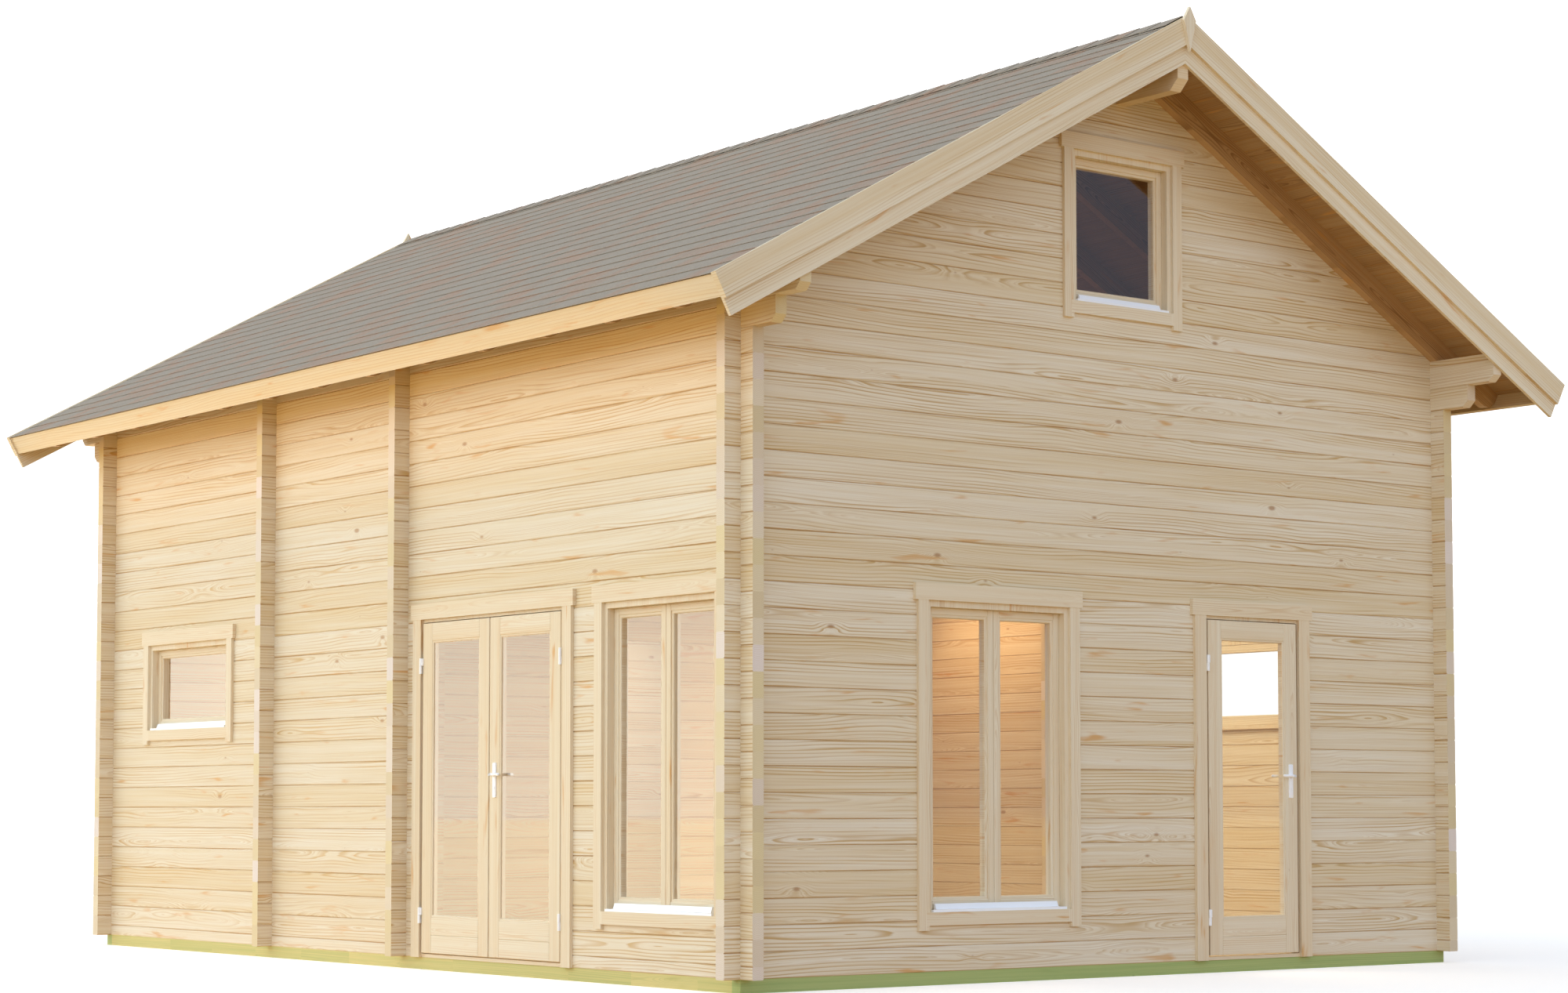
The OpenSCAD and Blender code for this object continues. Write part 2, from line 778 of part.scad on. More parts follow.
// The frame's halves of both hinges of a leaf, on the jamb beside it
module frame_hinges(x0, hand) {
  translate([x0, 0, 0]) mirror([hand < 0 ? 1 : 0, 0, 0]) for (z = hinge_z)
    hinge_half(-hinge_out, z, [-hinge_out - hinge_r, -hinge_out, 0]);
}

// A lever handle on a long plate, outside or inside the leaf; the lever points to the hinge side
module lever_set(x, out_y, out, hand) {
  p = handle_plate;
  reach = 54;
  translate([x, out_y, handle_z]) mirror([hand < 0 ? 1 : 0, 0, 0]) mirror([0, out > 0 ? 1 : 0, 0]) {
    block([-p[0] / 2, -p[2], -0.62 * p[1]], [p[0] / 2, 0, 0.38 * p[1]]);
    translate([0, -reach, 0]) rotate([-90, 0, 0]) cylinder(r = lever_r, h = reach - p[2] / 2, $fn = 32);
    translate([-lever_len, -reach, 0]) rotate([0, 90, 0]) cylinder(r = lever_r, h = lever_len + lever_r, $fn = 32);
  }
}

module door_handle(x, hand) {
  lever_set(x, leaf_y[0], -1, hand);
  lever_set(x, leaf_y[1], 1, hand);
}

module front_door_frame() {
  color(pale_board) stand() door_frame(front_clear);
}

module garden_door_frame() {
  color(pale_board) stand() on_left() door_frame(garden_clear);
}

module door_hinges() {
  color(white_metal) stand() {
    frame_hinges(front_door_x, 1);
    on_left() frame_hinges(garden_door_y, 1);
    on_left() frame_hinges(garden_door_end, -1);
  }
}

module front_door_leaf() {
  color(pale_board) stand() door_leaf(front_door_x, front_leaf_w, 1);
}

module front_door_pane() {
  color(glass_tint, 0.4) stand() leaf_pane(front_door_x, front_leaf_w, 1);
}

module front_door_handle() {
  color(white_metal) stand() door_handle(front_door_end - leaf_stile / 2, 1);
}

module garden_near_leaf() {
  color(pale_board) stand() on_left() door_leaf(garden_door_y, garden_leaf_w, 1);
}

module garden_near_pane() {
  color(glass_tint, 0.4) stand() on_left() leaf_pane(garden_door_y, garden_leaf_w, 1);
}

module garden_near_handle() {
  color(white_metal) stand() on_left() door_handle(garden_door_y + garden_leaf_w - leaf_stile / 2, 1);
}

module garden_far_leaf() {
  color(pale_board) stand() on_left() door_leaf(garden_door_end, garden_leaf_w, -1);
}

module garden_far_pane() {
  color(glass_tint, 0.4) stand() on_left() leaf_pane(garden_door_end, garden_leaf_w, -1);
}

sill_beams_long();
sill_beams_short();
floor_joists();
floor_boards();
front_wall_left();
front_wall_right();
front_wall_upper();
left_wall_front();
left_wall_rear();
left_wall_upper();
right_wall();
back_wall();
portal_wall();
cross_wall();
loft_floor();
ridge_purlin();
rafters();
eaves_boards();
left_roof_boards();
right_roof_boards();
left_shingles();
right_shingles();
fascias();
bargeboards();
cover_boards();
finials();
tall_window_frames();
small_window_frames();
gable_window_frames();
window_sashes();
window_panes();
window_sills();
front_door_frame();
garden_door_frame();
door_hinges();
front_door_leaf();
front_door_pane();
front_door_handle();
garden_near_leaf();
garden_near_pane();
garden_near_handle();
garden_far_leaf();
garden_far_pane();
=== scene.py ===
import math

import bmesh
import bpy
from mathutils import Matrix, Vector


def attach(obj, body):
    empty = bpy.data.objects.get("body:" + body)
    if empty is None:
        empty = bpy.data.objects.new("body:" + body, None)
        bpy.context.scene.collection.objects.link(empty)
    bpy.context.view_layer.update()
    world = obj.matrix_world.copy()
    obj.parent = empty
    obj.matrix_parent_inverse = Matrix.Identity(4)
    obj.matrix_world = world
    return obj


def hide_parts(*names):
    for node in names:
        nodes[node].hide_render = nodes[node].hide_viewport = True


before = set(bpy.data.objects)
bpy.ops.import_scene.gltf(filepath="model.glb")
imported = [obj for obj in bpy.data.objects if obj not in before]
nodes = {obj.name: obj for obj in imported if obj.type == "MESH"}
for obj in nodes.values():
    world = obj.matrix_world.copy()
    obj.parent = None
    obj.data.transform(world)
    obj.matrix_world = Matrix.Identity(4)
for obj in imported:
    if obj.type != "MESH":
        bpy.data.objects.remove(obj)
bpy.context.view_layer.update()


# Sill beams and floor joists: sawn spruce, pressure-treated green against rot. They lie flat on the
# ground, the long ones between the short ones, a little in from the faces of the logs.
def linear(code):
    """An sRGB hex colour as the linear values that a shader takes."""
    parts = [int(code[i:i + 2], 16) / 255 for i in (1, 3, 5)]
    return [p / 12.92 if p <= 0.04045 else ((p + 0.055) / 1.055) ** 2.4 for p in parts] + [1.0]


def add(tree, kind, feeds=None, out=0, **settings):
    """Adds a node. Each feed, by an input's name or number, is a value or another node's socket."""
    node = tree.nodes.new("ShaderNode" + kind)
    for key, value in settings.items():
        setattr(node, key, value)
    for key, value in (feeds or {}).items():
        if isinstance(value, bpy.types.NodeSocket):
            tree.links.new(value, node.inputs[key])
        else:
            node.inputs[key].default_value = value
    return node if out is None else node.outputs[out]


def finish_named(name):
    """A new material, with its tree, its shader and the x, y and z of the piece."""
    material = bpy.data.materials.new(name)
    material.use_nodes = True
    tree = material.node_tree
    place = add(tree, "SeparateXYZ", {0: add(tree, "TexCoord", out="Object")}, out=None)
    return material, tree, tree.nodes["Principled BSDF"], place.outputs


def spruce(tree, along, across, piece, look):
    """Sawn spruce. The rings run along the piece as lines where the pith lies above or below the face, and
    close in pointed arches where it lies behind it; knots turn them aside. Gives the colour and the height."""
    own = add(tree, "SeparateColor", {0: add(tree, "TexWhiteNoise", {"W": piece}, out="Color",
                                             noise_dimensions="1D")}, out=None).outputs
    start = add(tree, "Math", {0: own[0], 1: 60.0, 2: along}, operation="MULTIPLY_ADD")
    spot = add(tree, "CombineXYZ", {0: start, 1: across, 2: piece})
    bow = add(tree, "TexNoise", {"W": start, "Scale": look["bow"], "Detail": 1.0}, noise_dimensions="1D")
    sway = add(tree, "TexNoise", {"W": add(tree, "Math", {0: start, 1: 17.3}, operation="ADD"),
                                  "Scale": 0.5, "Detail": 1.0}, noise_dimensions="1D")
    depth = add(tree, "Math", {0: bow, 1: look["reach"], 2: -0.5 * look["reach"]}, operation="MULTIPLY_ADD")
    pith = add(tree, "Math", {0: own[2], 1: look["spread"], 2: -0.5 * look["spread"] - 0.03},
               operation="MULTIPLY_ADD")
    pith = add(tree, "Math", {0: sway, 1: 0.06, 2: pith}, operation="MULTIPLY_ADD")
    rise = add(tree, "Math", {0: across, 1: pith}, operation="SUBTRACT")
    radius = add(tree, "VectorMath", {0: add(tree, "CombineXYZ", {0: rise, 1: depth})}, out="Value",
                 operation="LENGTH")

    gap = look["knot_gap"]
    cell = add(tree, "Math", {0: add(tree, "Math", {0: start, 1: gap}, operation="DIVIDE")}, operation="FLOOR")
    draw = add(tree, "TexWhiteNoise", {0: add(tree, "CombineXYZ", {0: cell, 1: piece})}, out="Color",
               noise_dimensions="2D")
    draw = add(tree, "SeparateColor", {0: draw}, out=None).outputs
    knot_at = add(tree, "Math", {0: draw[0], 1: 0.5 * gap, 2: add(
        tree, "Math", {0: cell, 1: gap, 2: 0.25 * gap}, operation="MULTIPLY_ADD")}, operation="MULTIPLY_ADD")
    knot_x = add(tree, "Math", {0: add(tree, "Math", {0: start, 1: knot_at}, operation="SUBTRACT"), 1: 0.45},
                 operation="MULTIPLY")
    knot_z = add(tree, "Math", {0: draw[1], 1: -look["knot_span"], 2: add(
        tree, "Math", {0: across, 1: 0.5 * look["knot_span"]}, operation="ADD")}, operation="MULTIPLY_ADD")
    away = add(tree, "VectorMath", {0: add(tree, "CombineXYZ", {0: knot_x, 1: knot_z})}, out="Value",
               operation="LENGTH")
    knot_r = add(tree, "Math", {0: add(tree, "Math", {0: draw[2], 1: 1 - look["knots"]}, operation="SUBTRACT"),
                                1: look["knot_r"] / look["knots"]}, operation="MULTIPLY")
    knot_r = add(tree, "Math", {0: knot_r, 1: 0.0}, operation="MAXIMUM")
    near = add(tree, "MapRange", {0: away, 1: 0.0, 2: 0.06, 3: 2.6, 4: 0.0}, interpolation_type="SMOOTHSTEP")
    radius = add(tree, "Math", {0: near, 1: knot_r, 2: radius}, operation="MULTIPLY_ADD")
    core = add(tree, "Math", {0: add(tree, "Math", {0: knot_r, 1: away}, operation="SUBTRACT"), 1: 110.0},
               operation="MULTIPLY", use_clamp=True)

    # The rings are uneven: wide and faint in places, close and strong in others, with finer ones between.
    fine = add(tree, "TexNoise", {0: add(tree, "VectorMath", {0: spot, 1: (0.8, 24.0, 3.7)}, operation="MULTIPLY"),
                                  "Scale": 1.0, "Detail": 2.0})
    wavy = add(tree, "Math", {0: fine, 1: 1.5 * look["ring"], 2: radius}, operation="MULTIPLY_ADD")
    mark = None
    for count, share in ((1.0, 1.0), (2.7, 0.6)):
        ring = add(tree, "Math", {0: add(tree, "Math", {0: wavy, 1: look["ring"] / count}, operation="DIVIDE")},
                   operation="FRACT")
        late = add(tree, "MapRange", {0: ring, 1: 0.42, 2: 0.90, 3: 0.0, 4: share}, interpolation_type="SMOOTHSTEP")
        late = add(tree, "Math", {0: late, 1: add(tree, "MapRange", {0: ring, 1: 0.92, 2: 1.0, 3: 1.0, 4: 0.0})},
                   operation="MULTIPLY")
        patch = add(tree, "TexNoise", {0: add(tree, "VectorMath", {0: spot, 1: (0.6, 13.0, 5.1 + count)},
                                              operation="MULTIPLY"), "Scale": 1.0, "Detail": 2.0})
        late = add(tree, "Math", {0: late, 1: add(tree, "MapRange", {0: patch, 1: 0.40, 2: 0.64, 3: 0.14, 4: 1.0})},
                   operation="MULTIPLY")
        mark = late if mark is None else add(tree, "Math", {0: mark, 1: late}, operation="MAXIMUM")
    streak = add(tree, "TexNoise", {0: add(tree, "VectorMath", {0: spot, 1: (0.9, 48.0, 2.3)},
                                           operation="MULTIPLY"), "Scale": 1.0, "Detail": 3.0})
    streak = add(tree, "MapRange", {0: streak, 1: 0.36, 2: 0.70, 3: 0.0, 4: 0.55})
    tone = add(tree, "Math", {0: own[1], 1: 0.6, 2: streak}, operation="MULTIPLY_ADD", use_clamp=True)
    colour = add(tree, "Mix", {0: tone, 6: linear(look["pale"]), 7: linear(look["warm"])}, out=2, data_type="RGBA")
    colour = add(tree, "Mix", {0: add(tree, "Math", {0: mark, 1: look["line"]}, operation="MULTIPLY"),
                               6: colour, 7: linear(look["late"])}, out=2, data_type="RGBA")
    flame = add(tree, "TexNoise", {0: add(tree, "VectorMath", {0: spot, 1: (2.6, 19.0, 7.9)}, operation="MULTIPLY"),
                                   "Scale": 1.0, "Detail": 2.0, "Distortion": 0.4})
    flame = add(tree, "MapRange", {0: flame, 1: 0.63, 2: 0.80, 3: 0.0, 4: 0.85}, interpolation_type="SMOOTHSTEP")
    colour = add(tree, "Mix", {0: flame, 6: colour, 7: linear(look["flame"])}, out=2, data_type="RGBA")
    colour = add(tree, "Mix", {0: add(tree, "Math", {0: core, 1: 0.7}, operation="MULTIPLY"),
                               6: colour, 7: linear(look["knot"])}, out=2, data_type="RGBA")
    return colour, mark


def planed(tree, shader, colour, height, rough=(0.50, 0.66)):
    """Puts a wood's colour on the shader, with late wood a little harder and prouder than the rest."""
    tree.links.new(colour, shader.inputs["Base Color"])
    tree.links.new(add(tree, "MapRange", {0: height, 1: 0.0, 2: 1.0, 3: rough[1], 4: rough[0]}),
                   shader.inputs["Roughness"])
    tree.links.new(add(tree, "Bump", {"Strength": 0.25, "Distance": 0.0008, "Height": height}),
                   shader.inputs["Normal"])


def clad(material, *names):
    """Gives CAD nodes a finish."""
    for name in names:
        nodes[name].material_slots[0].material = material


def treated(name, look):
    """The salts of the treatment leave the wood a grassy green, streaked where the late wood takes less of it."""
    material, tree, shader, (x, y, z) = finish_named(name)
    run = add(tree, "Math", {0: x, 1: y}, operation="ADD")
    which = add(tree, "Math", {0: add(tree, "Math", {0: y, 1: 1.7}, operation="MULTIPLY")}, operation="ROUND")
    colour, height = spruce(tree, run, z, which, look)
    planed(tree, shader, colour, height, rough=(0.62, 0.78))
    return material


# The long beams are drawn yellower and paler than the short ones.
green = {"pale": "#B9C07C", "warm": "#9DB06A", "late": "#7C9652", "knot": "#6C7A44", "flame": "#93A760",
         "ring": 0.012, "line": 0.5, "bow": 0.7, "reach": 0.14, "spread": 0.2, "knot_gap": 0.9, "knot_span": 0.05,
         "knot_r": 0.010, "knots": 0.4}
clad(treated("pressure_treated_spruce", green), "sill_beams_short", "floor_joists")
clad(treated("pressure_treated_yellow_spruce", dict(green, pale="#DACB88", warm="#BEBC76", late="#97A05C",
                                                    flame="#B5AF68")), "sill_beams_long")


# Log walls: planed spruce logs 70 x 133 mm, V-jointed and notched into each other at the crossings.
# Gable and cross walls start with a whole log, side walls with a half one, so the courses interlock.
LOG_T, LOG_H = 0.070, 0.133
WALL_FOOT = 0.070
HALF_W, HALF_L = 2.65, 3.60
JOINT_EDGE, JOINT_CORE = 0.0045, 0.001
log_look = {"pale": "#E8DFCB", "warm": "#DCC9A4", "late": "#BF9A5C", "knot": "#A06E38", "flame": "#CF9B56",
            "ring": 0.018, "line": 0.9, "bow": 0.8, "reach": 0.16, "spread": 0.25, "knot_gap": 1.7, "knot_span": 0.10,
            "knot_r": 0.017, "knots": 0.45}
# Painted shade at the bottom of the V between two logs, and between two boards.
painted_joint_shade = "#B0803F"


def log_finish(name, phase, across_wall, half_wall):
    """Logs that run square to the axis across_wall; each course is one log with its own tree and tone. phase is
    how much of a log the wall starts without, and half_wall how far the wall stands from the house's middle.
    The rings are 18 mm apart, about four times the real spacing, so that they show from this distance."""
    material, tree, shader, place = finish_named(name)
    level = add(tree, "Math", {0: place[2], 1: 1 / LOG_H, 2: phase - WALL_FOOT / LOG_H}, operation="MULTIPLY_ADD")
    course = add(tree, "Math", {0: level}, operation="FLOOR")
    across = add(tree, "Math", {0: add(tree, "Math", {0: level}, operation="FRACT"), 1: LOG_H, 2: -LOG_H / 2},
                 operation="MULTIPLY_ADD")
    wall = add(tree, "Math", {0: add(tree, "Math", {0: place[across_wall], 1: 0.5}, operation="MULTIPLY")},
               operation="FLOOR")
    which = add(tree, "Math", {0: wall, 1: 37.0, 2: course}, operation="MULTIPLY_ADD")
    along = add(tree, "Math", {0: place[0], 1: place[1]}, operation="ADD")
    colour, height = spruce(tree, along, across, which, log_look)

    # Sawn ends show the rings as faint arcs; some logs' ends are greyish, others yellow.
    own = add(tree, "SeparateColor", {0: add(tree, "TexWhiteNoise", {"W": add(
        tree, "Math", {0: which, 1: 0.37}, operation="ADD")}, out="Color", noise_dimensions="1D")}, out=None).outputs
    depth = add(tree, "Math", {0: add(tree, "Math", {0: place[across_wall]}, operation="ABSOLUTE"), 1: half_wall},
                operation="SUBTRACT")
    heart = add(tree, "Math", {0: own[1], 1: 0.16, 2: -0.08}, operation="MULTIPLY_ADD")
    rise = add(tree, "Math", {0: across, 1: heart}, operation="SUBTRACT")
    arc = add(tree, "VectorMath", {0: add(tree, "CombineXYZ", {0: depth, 1: rise})}, out="Value", operation="LENGTH")
    arc = add(tree, "Math", {0: add(tree, "Math", {0: arc, 1: 0.009}, operation="DIVIDE")}, operation="FRACT")
    arc = add(tree, "MapRange", {0: arc, 1: 0.3, 2: 0.95, 3: 0.0, 4: 0.30}, interpolation_type="SMOOTHSTEP")
    sawn = add(tree, "Mix", {0: add(tree, "MapRange", {0: own[0], 1: 0.30, 2: 0.75, 3: 0.0, 4: 1.0}),
                             6: linear("#E4D9D0"), 7: linear("#DDCDA0")}, out=2, data_type="RGBA")
    sawn = add(tree, "Mix", {0: add(tree, "MapRange", {0: own[2], 1: 0.35, 2: 1.0, 3: 0.0, 4: 0.7}),
                             6: sawn, 7: linear("#CFBD98")}, out=2, data_type="RGBA")
    sawn = add(tree, "Mix", {0: arc, 6: sawn, 7: linear("#C7A87A")}, out=2, data_type="RGBA")
    normal = add(tree, "SeparateXYZ", {0: add(tree, "NewGeometry", out="Normal")}, out=None).outputs
    facing = add(tree, "Math", {0: add(tree, "Math", {0: normal[1 - across_wall]}, operation="ABSOLUTE"), 1: 0.7},
                 operation="GREATER_THAN")
    colour = add(tree, "Mix", {0: facing, 6: colour, 7: sawn}, out=2, data_type="RGBA")

    # The joint between two courses is painted with shade at the bottom of its V, stronger in some places than in
    # others.
    edge = add(tree, "MapRange", {0: add(tree, "Math", {0: across}, operation="ABSOLUTE"), 1: LOG_H / 2 - JOINT_EDGE,
                                  2: LOG_H / 2 - JOINT_CORE, 3: 0.0, 4: 1.0}, interpolation_type="SMOOTHSTEP")
    stretch = add(tree, "Math", {0: along, 1: 1.6}, operation="MULTIPLY")
    joint_no = add(tree, "Math", {0: add(tree, "Math", {0: level}, operation="ROUND"), 1: 3.7}, operation="MULTIPLY")
    joint_shade_strength = add(tree, "TexNoise", {0: add(tree, "CombineXYZ", {0: stretch, 1: joint_no}), "Scale": 1.0,
                                   "Detail": 2.0})
    edge = add(tree, "Math", {0: edge, 1: add(tree, "MapRange", {0: joint_shade_strength, 1: 0.35, 2: 0.68, 3: 0.2, 4: 0.8})},
               operation="MULTIPLY")
    edge = add(tree, "Math", {0: edge, 1: add(tree, "Math", {0: 1.0, 1: facing}, operation="SUBTRACT")},
               operation="MULTIPLY")
    colour = add(tree, "Mix", {0: edge, 6: colour, 7: linear(painted_joint_shade)}, out=2, data_type="RGBA")
    planed(tree, shader, colour, height)
    return material


gable_logs = log_finish("planed_spruce_gable_logs", phase=0.0, across_wall=1, half_wall=HALF_L - LOG_T / 2)
side_logs = log_finish("planed_spruce_side_logs", phase=0.5, across_wall=0, half_wall=HALF_W - LOG_T / 2)
clad(gable_logs, "front_wall_left", "front_wall_right", "front_wall_upper", "back_wall", "portal_wall", "cross_wall")
clad(side_logs, "left_wall_front", "left_wall_rear", "left_wall_upper", "right_wall")


# Floor and loft: tongued and grooved spruce boards 120 mm wide, planed and nailed across the joists, with a
# fine V at each joint. The loft's boards lie on joists of their own and leave a hatch open.
board_look = dict(log_look, pale="#E4D4B6", warm="#D8BC90", ring=0.014, line=0.5, knot_r=0.011, knot_span=0.07)
FLOOR_BOARD = 0.120


def boarded(name, along, across, width, look, joint=0.0016):
    """A finish of boards side by side; along and across give how the three axes add up to each direction.
    A direction with a negative x is the left slope's, and the right slope then mirrors it. With no joint and a
    width greater than its own, a piece is a single board."""
    material, tree, shader, (x, y, z) = finish_named(name)
    if along[0] < 0 or across[0] < 0:
        x = add(tree, "Math", {0: x}, operation="ABSOLUTE")
    spot = add(tree, "CombineXYZ", {0: x, 1: y, 2: z})
    run, side = [add(tree, "VectorMath", {0: spot, 1: [abs(way[0]), way[1], way[2]]}, out="Value",
                     operation="DOT_PRODUCT") for way in (along, across)]
    step = add(tree, "Math", {0: side, 1: width}, operation="DIVIDE")
    which = add(tree, "Math", {0: step}, operation="FLOOR")
    where = add(tree, "Math", {0: add(tree, "Math", {0: step}, operation="FRACT"), 1: width, 2: -width / 2},
                operation="MULTIPLY_ADD")
    colour, height = spruce(tree, run, where, which, look)
    # Each joint between boards is painted with shade at the bottom of its V, and sunk a little by the bump.
    edge = add(tree, "MapRange", {0: add(tree, "Math", {0: where}, operation="ABSOLUTE"), 1: width / 2 - 2 * joint,
                                  2: width / 2 - joint, 3: 0.0, 4: 0.8})
    colour = add(tree, "Mix", {0: edge, 6: colour, 7: linear(painted_joint_shade)}, out=2, data_type="RGBA")
    planed(tree, shader, colour, add(tree, "Math", {0: height, 1: edge}, operation="SUBTRACT"))
    return material


clad(boarded("planed_spruce_floor_boards", (1, 0, 0), (0, 1, 0), FLOOR_BOARD, board_look),
     "floor_boards", "loft_floor")


# Roof timber: a ridge purlin, thirteen pairs of rafters with round tails, and boards closing the bays over
# the side walls. Tongued boards 96 mm wide run along the house on the rafters and show under the overhang.
PITCH = math.radians(28.75)
SLOPE_DOWN = (-math.cos(PITCH), 0, -math.sin(PITCH))
SLOPE_OUT = (-math.sin(PITCH), 0, math.cos(PITCH))
ROOF_BOARD = 0.096
# The roof boards and rafters are drawn darker and browner than the other spruce: painted shade for where they show
# under the overhang.
roof_painted_shade_look = dict(board_look, pale="#BC9F78", warm="#AE885B", late="#7E5A30", line=0.8, ring=0.012)
clad(boarded("spruce_roof_boards_painted_shade", (0, 1, 0), SLOPE_DOWN, ROOF_BOARD, roof_painted_shade_look),
     "left_roof_boards", "right_roof_boards")
rafter_painted_shade_look = dict(roof_painted_shade_look, pale="#C9A980", warm="#BA9061", late="#886235")
clad(boarded("spruce_rafters_painted_shade", SLOPE_DOWN, SLOPE_OUT, 0.40, rafter_painted_shade_look, joint=0.0), "rafters")
# The boards over the side walls are drawn more orange than the other spruce: painted warm light under the eaves.
bay_painted_light_look = dict(board_look, pale="#E6C08C", warm="#D9A870", late="#B98548")
clad(boarded("spruce_bay_boards_painted_light", (0, 1, 0), (0, 0, 1), 0.45, bay_painted_light_look, joint=0.0), "eaves_boards")
clad(boarded("planed_spruce_purlin", (0, 1, 0), (0, 0, 1), 0.45, board_look, joint=0.0), "ridge_purlin")


# Shingles: strips of mineral-grained bitumen felt a metre long, nailed in 22 courses to each slope. Each
# course laps the one below, and the strips' ends are staggered. Folded pieces cover the ridge.
APEX_Z = 5.2354
SLOPE_LEN = 3.640
COURSES = 22
COURSE = SLOPE_LEN / COURSES
STRIP_LEN, STRIP_GAP, SHORTEST = 1.0, 0.0016, 0.02
LAP, STAGGER = 0.04, 0.37
FELT_T = 0.0042
ROOF_END = 4.084


def squared(name, low, high):
    """A square piece between two corners, as a start to shape from."""
    bpy.ops.object.select_all(action="DESELECT")
    low, high = Vector(low), Vector(high)
    bpy.ops.mesh.primitive_cube_add(size=1, location=(low + high) / 2)
    piece = bpy.context.object
    piece.name = name
    piece.scale = high - low
    bpy.ops.object.transform_apply(location=True, rotation=True, scale=True)
    return piece


def choose(piece, kind, test):
    """Opens the piece and selects its faces or edges whose middle passes the test."""
    bpy.ops.object.mode_set(mode="EDIT")
    bpy.ops.mesh.select_mode(type={"faces": "FACE", "edges": "EDGE"}[kind])
    bpy.ops.mesh.select_all(action="DESELECT")
    mesh = bmesh.from_edit_mesh(piece.data)
    for item in getattr(mesh, kind):
        item.select = bool(test(sum((v.co for v in item.verts), Vector()) / len(item.verts)))
    mesh.select_flush_mode()
    bmesh.update_edit_mesh(piece.data)


def close(piece):
    """Leaves edit mode with all faces pointing out."""
    bpy.ops.mesh.select_all(action="SELECT")
    bpy.ops.mesh.remove_doubles(threshold=1e-5)
    bpy.ops.mesh.normals_make_consistent(inside=False)
    bpy.ops.object.mode_set(mode="OBJECT")
    return piece


def eased(piece, test, size, steps):
    """Bevels the edges whose middle passes the test, and closes the piece."""
    choose(piece, "edges", test)
    bpy.ops.mesh.bevel(offset=size, segments=steps, affect="EDGES")
    return close(piece)


def placed(piece, place):
    """Moves a piece's mesh by a matrix; one that mirrors it leaves its faces pointing out all the same."""
    piece.data.transform(place)
    if place.determinant() < 0:
        piece.data.flip_normals()
    return piece


def laid(source, places, name):
    """Copies of a piece, each with its own mesh, set by matrices and joined under one name."""
    copies = []
    for place in places:
        copy = source.copy()
        copy.data = source.data.copy()
        bpy.context.scene.collection.objects.link(copy)
        copies.append(placed(copy, place))
    return joined(copies, name, source)


def joined(pieces, name, *spent):
    """One piece of several; what was only copied from is removed."""
    bpy.ops.object.select_all(action="DESELECT")
    for piece in pieces:
        piece.select_set(True)
    bpy.context.view_layer.objects.active = pieces[0]
    bpy.ops.object.join()
    whole = bpy.context.object
    whole.name = whole.data.name = name
    for piece in spent:
        bpy.data.objects.remove(piece)
    return whole


def carried(piece, material, body="house", instead=()):
    """Finishes a piece: its material, the slot it is painted from, the body it rides on, what it stands for."""
    piece.data.materials.clear()
    piece.data.materials.append(material)
    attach(piece, body)
    if instead:
        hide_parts(*instead)


# Ceramic granules pressed into bitumen: matt and gritty, grey with soft rusty dashes along each course.
# The grit is drawn at 7 mm, several times the real size, so that it shows.
felt, tree, shader, (x, y, z) = finish_named("granulated_bitumen_felt")
out_from_ridge = add(tree, "Math", {0: x}, operation="ABSOLUTE")
down = add(tree, "VectorMath", {0: add(tree, "CombineXYZ", {0: out_from_ridge, 2: z}),
                                1: (math.cos(PITCH), 0, -math.sin(PITCH))}, out="Value", operation="DOT_PRODUCT")
row = add(tree, "Math", {0: add(tree, "Math", {0: down, 1: APEX_Z * math.sin(PITCH) + 0.003}, operation="ADD"),
                         1: COURSE}, operation="DIVIDE")
row = add(tree, "Math", {0: row}, operation="FLOOR")
shift = add(tree, "TexWhiteNoise", {"W": row}, noise_dimensions="1D")
run = add(tree, "Math", {0: shift, 1: 9.0, 2: y}, operation="MULTIPLY_ADD")
dash = add(tree, "CombineXYZ", {0: add(tree, "Math", {0: run, 1: 3.4}, operation="MULTIPLY"),
                                1: add(tree, "Math", {0: row, 1: 7.7}, operation="MULTIPLY")})
patch = add(tree, "TexNoise", {0: dash, "Scale": 1.0, "Detail": 2.0}, noise_dimensions="2D")
tab = add(tree, "Math", {0: add(tree, "Math", {0: run, 1: 6.0}, operation="MULTIPLY")}, operation="FLOOR")
tab = add(tree, "TexWhiteNoise", {0: add(tree, "CombineXYZ", {0: tab, 1: row})}, noise_dimensions="2D")
grit = add(tree, "TexVoronoi", {0: add(tree, "TexCoord", out="Object"), "Scale": 1 / 0.007}, out="Color")
grit = add(tree, "SeparateColor", {0: grit})
colour = add(tree, "Mix", {0: add(tree, "MapRange", {0: patch, 1: 0.50, 2: 0.66, 3: 0.0, 4: 0.75}),
                           6: linear("#8D8172"), 7: linear("#9C745A")}, out=2, data_type="RGBA")
colour = add(tree, "Mix", {0: add(tree, "Math", {0: tab, 1: 0.28}, operation="MULTIPLY"), 6: colour,
                           7: linear("#797062")}, out=2, data_type="RGBA")
colour = add(tree, "Mix", {0: add(tree, "MapRange", {0: grit, 1: 0.0, 2: 1.0, 3: 0.0, 4: 0.45}), 6: colour,
                           7: linear("#B0A18D")}, out=2, data_type="RGBA")
tree.links.new(colour, shader.inputs["Base Color"])
tree.links.new(add(tree, "MapRange", {0: grit, 1: 0.0, 2: 1.0, 3: 0.82, 4: 0.96}), shader.inputs["Roughness"])
tree.links.new(add(tree, "Bump", {"Strength": 0.5, "Distance": 0.0012, "Height": grit}), shader.inputs["Normal"])


def slope_frame(side):
    """Sets what is measured down the slope, along the house and out of the roof in its place on a slope."""
    c, s = math.cos(PITCH), math.sin(PITCH)
    return Matrix(((side * c, 0, side * s, 0), (0, 1, 0, 0), (-s, 0, c, APEX_Z), (0, 0, 0, 1)))


